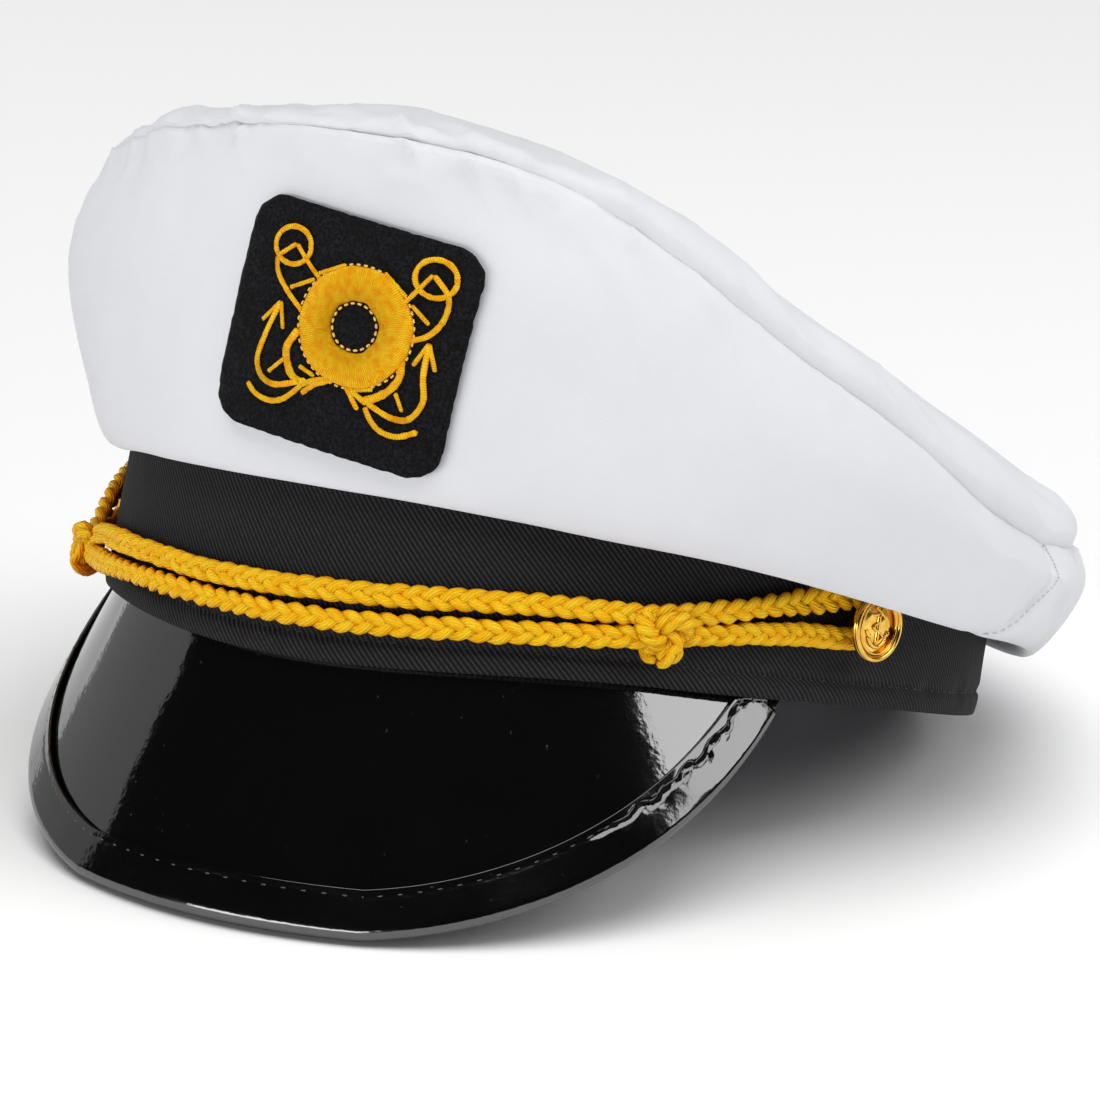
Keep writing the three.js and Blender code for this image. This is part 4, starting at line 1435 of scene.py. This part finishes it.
@dataclass
class Patch:
    """The felt patch and its embroidery: a life ring over two crossed anchors."""

    cells: int = 30
    columns: int = 60
    rows: int = 56
    thread_height: float = 0.75
    stroke_share: float = 0.86
    ring_centre: tuple[float, float] = (2.8, 2.2)
    ring_outer: float = 10.7
    ring_inner: float = 4.5
    shackles: tuple[tuple[float, float], ...] = ((-12.6, 12.8), (14.8, 14.4))
    shackle_radius: float = 3.35

    def surface(self, across: float, up: float) -> tuple[Vector, Vector]:
        """The crown's face behind a point of the patch, and the direction out of it."""
        turn = math.radians(FORM.patch_turn)
        x = FORM.patch_across + across * math.cos(turn) + up * math.sin(turn)
        height = FORM.patch_up - across * math.sin(turn) + up * math.cos(turn)
        y = FORM.crown_face(x, height)
        slope_x = FORM.crown_face(x + 1, height) - FORM.crown_face(x - 1, height)
        slope_up = FORM.crown_face(x, height + 1) - FORM.crown_face(x, height - 1)
        return Vector((x, y, height)), Vector((slope_x / 2, -1, slope_up / 2)).normalized()

    @cached_property
    def field(self) -> list[list[tuple[Vector, Vector]]]:
        """The surface at the corners of an even grid over the patch."""
        half_width, half_height = FORM.patch_width / 2, FORM.patch_height / 2
        steps = [k / self.cells for k in range(self.cells + 1)]
        columns = [lerp(-half_width, half_width, step) for step in steps]
        rows = [lerp(-half_height, half_height, step) for step in steps]
        return [[self.surface(across, up) for up in rows] for across in columns]

    def at(self, across: float, up: float, lift: float) -> Vector:
        """A point by its place on the patch and its distance out of the crown's face."""
        i = clamp(across / FORM.patch_width + 0.5, 0, 0.9999) * self.cells
        j = clamp(up / FORM.patch_height + 0.5, 0, 0.9999) * self.cells
        ci, cj = int(i), int(j)
        fi, fj = i - ci, j - cj
        parts = []
        for part in (0, 1):
            low = self.field[ci][cj][part].lerp(self.field[ci + 1][cj][part], fi)
            high = self.field[ci][cj + 1][part].lerp(self.field[ci + 1][cj + 1][part], fi)
            parts.append(low.lerp(high, fj))
        return parts[0] + parts[1] * lift

    def half_width(self, up: float) -> float:
        """Half the patch's width at a height, with its rounded corners."""
        past = max(abs(up) - (FORM.patch_height / 2 - FORM.patch_corner), 0)
        return FORM.patch_width / 2 - FORM.patch_corner + math.sqrt(max(FORM.patch_corner**2 - past**2, 0))

    def felt(self, u: float, v: float) -> Vector:
        """A point of the felt's face, with a slightly ragged cut edge."""
        side = 2 * u - 1
        up = math.sin((v - 0.5) * math.pi) * FORM.patch_height / 2
        across = side * self.half_width(up)
        ragged = 0.22 * ripple(math.atan2(up, across) * 14, 0, 4)
        grow = 1 + ragged / 22 * clamp((max(abs(side), abs(2 * v - 1)) - 0.9) * 10)
        lift = FORM.clearance + FORM.patch_wall + 0.1 * ripple(across / 3, up / 3, 1)
        edge = max(abs(side), abs(2 * v - 1))
        return self.at(across * grow, up * grow, lift - 0.5 * clamp((edge - 0.94) / 0.06) ** 2)

    @property
    def base(self) -> float:
        """Lift of the threads' underside."""
        return FORM.clearance + FORM.patch_wall - 0.1

    def stroke(self, piece: Piece, stroke: Stroke) -> None:
        """Adds one satin stroke to a piece."""
        points = [Vector((a, b, 0)) for a, b in stroke.points]
        length = sum((b - a).length for a, b in pairwise(points))
        steps = max(6, round(length / 0.3))

        def place(u: float, v: float) -> Vector:
            """A point of the stroke."""
            middle = on_curve(points, u)
            along = (on_curve(points, u + 0.02) - on_curve(points, u - 0.02)).normalized()
            side = Vector((along.y, -along.x, 0))
            turn = 2 * math.pi * v
            taper = min(1.0, math.sqrt(clamp(min(u, 1 - u) * length / 0.35)))
            ragged = 1 + 0.09 * ripple(u * length / 0.8, 0, points[0].x)
            half = self.stroke_share * stroke.width / 2 * taper * ragged
            spot = middle + side * (half * math.cos(turn))
            lift = self.base + self.thread_height * (0.25 + 0.75 * taper * (0.5 - 0.5 * math.sin(turn)))
            return self.at(spot.x, spot.y, lift)

        piece.skin(steps, 10, place, (length, stroke.width * 2.4))

    def life_ring(self, piece: Piece) -> None:
        """Adds the life ring, worked in radial threads."""
        cx, cy = self.ring_centre
        spokes = 150

        def place(u: float, v: float) -> Vector:
            """A point of the ring, round its section and round its middle."""
            angle = 2 * math.pi * u
            turn = 2 * math.pi * v
            thread = 0.5 + 0.5 * math.cos(angle * spokes)
            half = (self.ring_outer - self.ring_inner) / 2
            wobble = 0.22 * ripple(2 * math.cos(angle), 2 * math.sin(angle), 3)
            radius = (self.ring_outer + self.ring_inner) / 2 + half * math.cos(turn) + wobble
            rise = max(-math.sin(turn), -0.2)
            lift = self.base + self.thread_height * (0.2 + 1.25 * math.copysign(abs(rise) ** 0.45, rise))
            lift += 0.09 * thread
            return self.at(cx + radius * math.cos(angle), cy + radius * math.sin(angle), lift)

        piece.skin(spokes * 4, 22, place, (spokes * SatinThread.pitch, 14))

    def dashes(self, piece: Piece, radius: float, count: int, width: float, fill: float) -> None:
        """Adds a ring of short stitches.

        Args:
            piece: the piece that gets it.
            radius: radius of the ring.
            count: how many stitches it has.
            width: thickness of a stitch.
            fill: share of the ring that the stitches take up.
        """
        cx, cy = self.ring_centre

        def stitch(number: int, along: float, c: float, s: float) -> Vector:
            """A point of one stitch, as `Piece.stitches` asks for it."""
            angle = (number + along / 2 * fill) * 2 * math.pi / count
            lift = self.base + self.thread_height * 0.55 - s
            return self.at(cx + (radius + c) * math.cos(angle), cy + (radius + c) * math.sin(angle), lift)

        piece.stitches(count, 1.2, width, stitch)

    def build(self) -> None:
        """Makes and dresses the felt and the embroidery."""
        felt = Piece("felt_patch")
        felt.skin(self.columns, self.rows, self.felt, (FORM.patch_width, FORM.patch_height))
        felt.finish(PatchFelt().material(), ["patch"], FORM.patch_wall)
        threads = Piece("anchor_embroidery")
        for stroke in STROKES:
            self.stroke(threads, stroke)
        wide, high = self.shackle_radius * 1.1, self.shackle_radius * 0.98
        turns = [2 * math.pi * k / 12 for k in range(14)]
        for x, y in self.shackles:
            circle = tuple((x + wide * math.cos(turn), y + high * math.sin(turn)) for turn in turns)
            self.stroke(threads, Stroke(circle))
        satin = SatinThread("thread_gold").material()
        threads.finish(satin, ["emblem"])
        ring = Piece("life_ring")
        self.life_ring(ring)
        ring.finish(satin, ["emblem"])
        outline = Piece("ring_outline")
        self.dashes(outline, self.ring_outer + 0.2, 50, 0.45, 0.66)
        self.dashes(outline, self.ring_inner - 0.35, 20, 0.48, 0.75)
        outline.finish(SewingThread("outline_thread", (1.0, 0.62, 0.12), 0.4).material())


@dataclass
class Button:
    """A gilt shank button with a beaded rim and a raised anchor."""

    name: str
    angle: float
    drop: float = 14.4
    diameter: float = 13
    thickness: float = 2.1
    shank: float = 3
    cord: float = 4.6
    bead: float = 0.5
    anchor: float = 8.6

    def spot(self, across: float, up: float, out: float) -> Vector:
        """A point by its place on the button's face and its distance out of the band."""
        outward = FORM.outward(self.angle)
        up_way = Vector((0, 0, 1))
        centre = FORM.place(self.angle, FORM.clearance, FORM.band_height - self.drop)
        return centre + up_way.cross(outward) * across + up_way * up + outward * out

    def stroke(self, piece: Piece, points: Sequence[tuple[float, float]], width: float, lift: float) -> None:
        """Adds one raised stroke of the anchor."""
        line = [Vector((a * self.anchor, b * self.anchor, 0)) for a, b in points]

        def place(u: float, v: float) -> Vector:
            """A point of the stroke."""
            middle = on_curve(line, u)
            along = (on_curve(line, u + 0.03) - on_curve(line, u - 0.03)).normalized()
            turn = 2 * math.pi * v
            taper = math.sqrt(clamp(min(u, 1 - u) * 10))
            half = width / 2 * taper
            spot = middle + Vector((along.y, -along.x, 0)) * (half * math.cos(turn))
            return self.spot(spot.x, spot.y, lift - half * math.sin(turn))

        piece.skin(8 * (len(line) - 1), 8, place, (4, 2))

    def arc(self, up: float, radius: float, turns: Sequence[float]) -> list[tuple[float, float]]:
        """Points of an arc round a point above the button's middle, in shares of the anchor's height."""
        angles = [math.radians(turn) for turn in turns]
        return [(radius * math.cos(angle), up + radius * math.sin(angle)) for angle in angles]

    def build(self, material: bpy.types.Material) -> None:
        """Makes and dresses the button."""
        piece = Piece(f"{self.name}_gilt")
        back = FORM.clearance + self.cord + FORM.clearance
        edge = self.diameter / 2
        face = back + self.thickness
        shank = self.shank / 2
        corners = (
            (0.0, 0.0), (shank, 0.0), (shank, back), (edge - 1.2, back), (edge - 0.3, back + 0.4),
            (edge, back + 0.9), (edge - 0.1, face - 0.6), (edge - 0.6, face - 0.2),
            (edge - 1.1, face - 0.55), (edge - 1.5, face - 0.95), (edge - 2.2, face - 1.0),
            (edge * 0.45, face - 0.75), (0.0, face - 0.65),
        )
        profile = [Vector((radius, out, 0)) for radius, out in corners]

        def lathe(u: float, v: float) -> Vector:
            """A point of the turned body."""
            corner = on_curve(profile, v)
            turn = 2 * math.pi * u
            radius = max(corner.x, 0)
            return self.spot(radius * math.cos(turn), radius * math.sin(turn), corner.y)

        piece.skin(64, 60, lathe, (40, 20))
        for middle, size in ((edge - self.bead, self.bead), (edge - 3.1 * self.bead, 0.5 * self.bead)):

            def rim(u: float, v: float, middle: float = middle, size: float = size) -> Vector:
                """A point of a beaded ring."""
                turn = 2 * math.pi * u
                radius = middle + size * math.cos(2 * math.pi * v)
                out = face - self.bead - size * math.sin(2 * math.pi * v)
                return self.spot(radius * math.cos(turn), radius * math.sin(turn), out)

            piece.skin(96, 10, rim, (40, 3))
        lift = face - 0.7
        ring = self.arc(0.43, 0.09, range(0, 361, 36))
        arms = self.arc(-0.12, 0.30, range(-172, 0, 23))
        rope = [(-0.12, 0.42), (0.14, 0.2), (-0.16, 0.0), (0.16, -0.2), (-0.05, -0.4)]
        self.stroke(piece, ring, 0.5, lift)
        self.stroke(piece, [(0, 0.36), (0, 0), (0, -0.44)], 0.95, lift)
        self.stroke(piece, [(-0.2, 0.26), (0, 0.28), (0.2, 0.26)], 0.75, lift)
        self.stroke(piece, arms, 0.9, lift)
        self.stroke(piece, rope, 0.45, lift + 0.25)
        for side in (-1, 1):
            self.stroke(piece, [(side * 0.36, -0.06), (side * 0.31, -0.16), (side * 0.22, -0.2)], 0.85, lift)
        piece.finish(material, [self.name])


@dataclass(frozen=True)
class Softbox:
    """A rectangular studio light, placed by azimuth and elevation from the front of the hat."""

    name: str
    azimuth: float
    elevation: float
    distance: float
    width: float
    height: float
    power: float

    def build(self, aim: Vector) -> None:
        """Adds the light, turned towards a point.

        Args:
            aim: the point that it faces.
        """
        data = bpy.data.lights.new(self.name, "AREA")
        data.shape = "RECTANGLE"
        data.size = self.width
        data.size_y = self.height
        data.energy = self.power
        light = bpy.data.objects.new(self.name, data)
        azimuth, elevation = math.radians(self.azimuth), math.radians(self.elevation)
        way = Vector((math.sin(azimuth), -math.cos(azimuth), 0)) * math.cos(elevation)
        way.z = math.sin(elevation)
        light.location = aim + way * self.distance
        light.rotation_euler = way.to_track_quat("Z", "Y").to_euler()
        bpy.context.scene.collection.objects.link(light)


@dataclass
class Studio:
    """Camera, floor and lights."""

    swing: float = 30.0
    rise: float = 4.0
    roll: float = 8.6
    distance: float = 900.0
    focal_pixels: float = 4507.7
    picture: float = 1100.0
    middle_right: float = -0.6
    middle_below: float = 87.0
    sensor: float = 36.0
    world: float = 0.012
    ceiling: float = 2.55
    ceiling_angle: float = 65.0

    def camera(self) -> None:
        """Sets the camera at the photograph's angle to the hat, aimed so that it needs no shift."""
        swing, rise, roll = (math.radians(a) for a in (self.swing, self.rise, self.roll))
        back = Vector((math.sin(swing) * math.cos(rise), -math.cos(swing) * math.cos(rise), math.sin(rise)))
        level = Vector((math.cos(swing), math.sin(swing), 0))
        upright = back.cross(level)
        right = level * math.cos(roll) + upright * math.sin(roll)
        up = upright * math.cos(roll) - level * math.sin(roll)
        aim = (back * self.focal_pixels + right * self.middle_right - up * self.middle_below).normalized()
        right = (right - aim * right.dot(aim)).normalized()
        axes = [FORM.turn @ axis for axis in (right, aim.cross(right), aim)]
        data = bpy.data.cameras.new("photo_camera")
        data.sensor_width = self.sensor
        data.lens = self.sensor * self.focal_pixels / self.picture
        data.clip_end = 50
        camera = bpy.data.objects.new("photo_camera", data)
        place = Matrix(axes).transposed().to_4x4()
        place.translation = FORM.to_row(back * self.distance)
        camera.matrix_world = place
        bpy.context.scene.collection.objects.link(camera)
        bpy.context.scene.camera = camera

    def floor(self) -> None:
        """Adds a plain pale floor."""
        mesh = bmesh.new()
        bmesh.ops.create_grid(mesh, x_segments=1, y_segments=1, size=6)
        data = bpy.data.meshes.new("floor")
        mesh.to_mesh(data)
        mesh.free()
        shader = Shader("floor_paper")
        shader.set(Base_Color=(0.98, 0.98, 0.98), Roughness=0.95)
        data.materials.append(shader.material)
        floor = bpy.data.objects.new("floor", data)
        bpy.context.scene.collection.objects.link(floor)

    def lights(self) -> None:
        """Adds the softboxes and the dim room."""
        aim = Vector((0, 0, 0.06))
        for box in (
            Softbox("left_light", -93, 10, 1.3, 1.15, 0.6, 0.75),
            Softbox("right_light", 106, 32, 1.3, 0.8, 0.75, 6.2),
            Softbox("front_light", -10, 6, 1.8, 1.6, 0.4, 13),
        ):
            box.build(aim)
        sky = bpy.data.lights.new("ceiling_light", "SUN")
        sky.energy = self.ceiling
        sky.angle = math.radians(self.ceiling_angle)
        ceiling = bpy.data.objects.new("ceiling_light", sky)
        ceiling.rotation_euler = (math.radians(8), math.radians(6), 0)
        bpy.context.scene.collection.objects.link(ceiling)
        world = bpy.data.worlds.new("room")
        world.use_nodes = True
        background = world.node_tree.nodes["Background"]
        background.inputs["Color"].default_value = (1, 1, 1, 1)
        background.inputs["Strength"].default_value = self.world
        bpy.context.scene.world = world
        bpy.context.scene.view_settings.view_transform = "Standard"

    def build(self) -> None:
        """Sets the whole scene around the hat."""
        self.camera()
        self.floor()
        self.lights()


def main() -> None:
    """Builds the hat and the scene around it."""
    logging.basicConfig(level=logging.INFO, format="%(message)s")
    Studio().build()
    Crown().build()
    Band().build()
    Peak().build()
    Cord().build()
    Patch().build()
    gilt = GiltMetal().material()
    for name, angle in (("button_left", BUTTON_ANGLE), ("button_right", -BUTTON_ANGLE)):
        Button(name, angle).build(gilt)


if __name__ == "__main__":
    main()
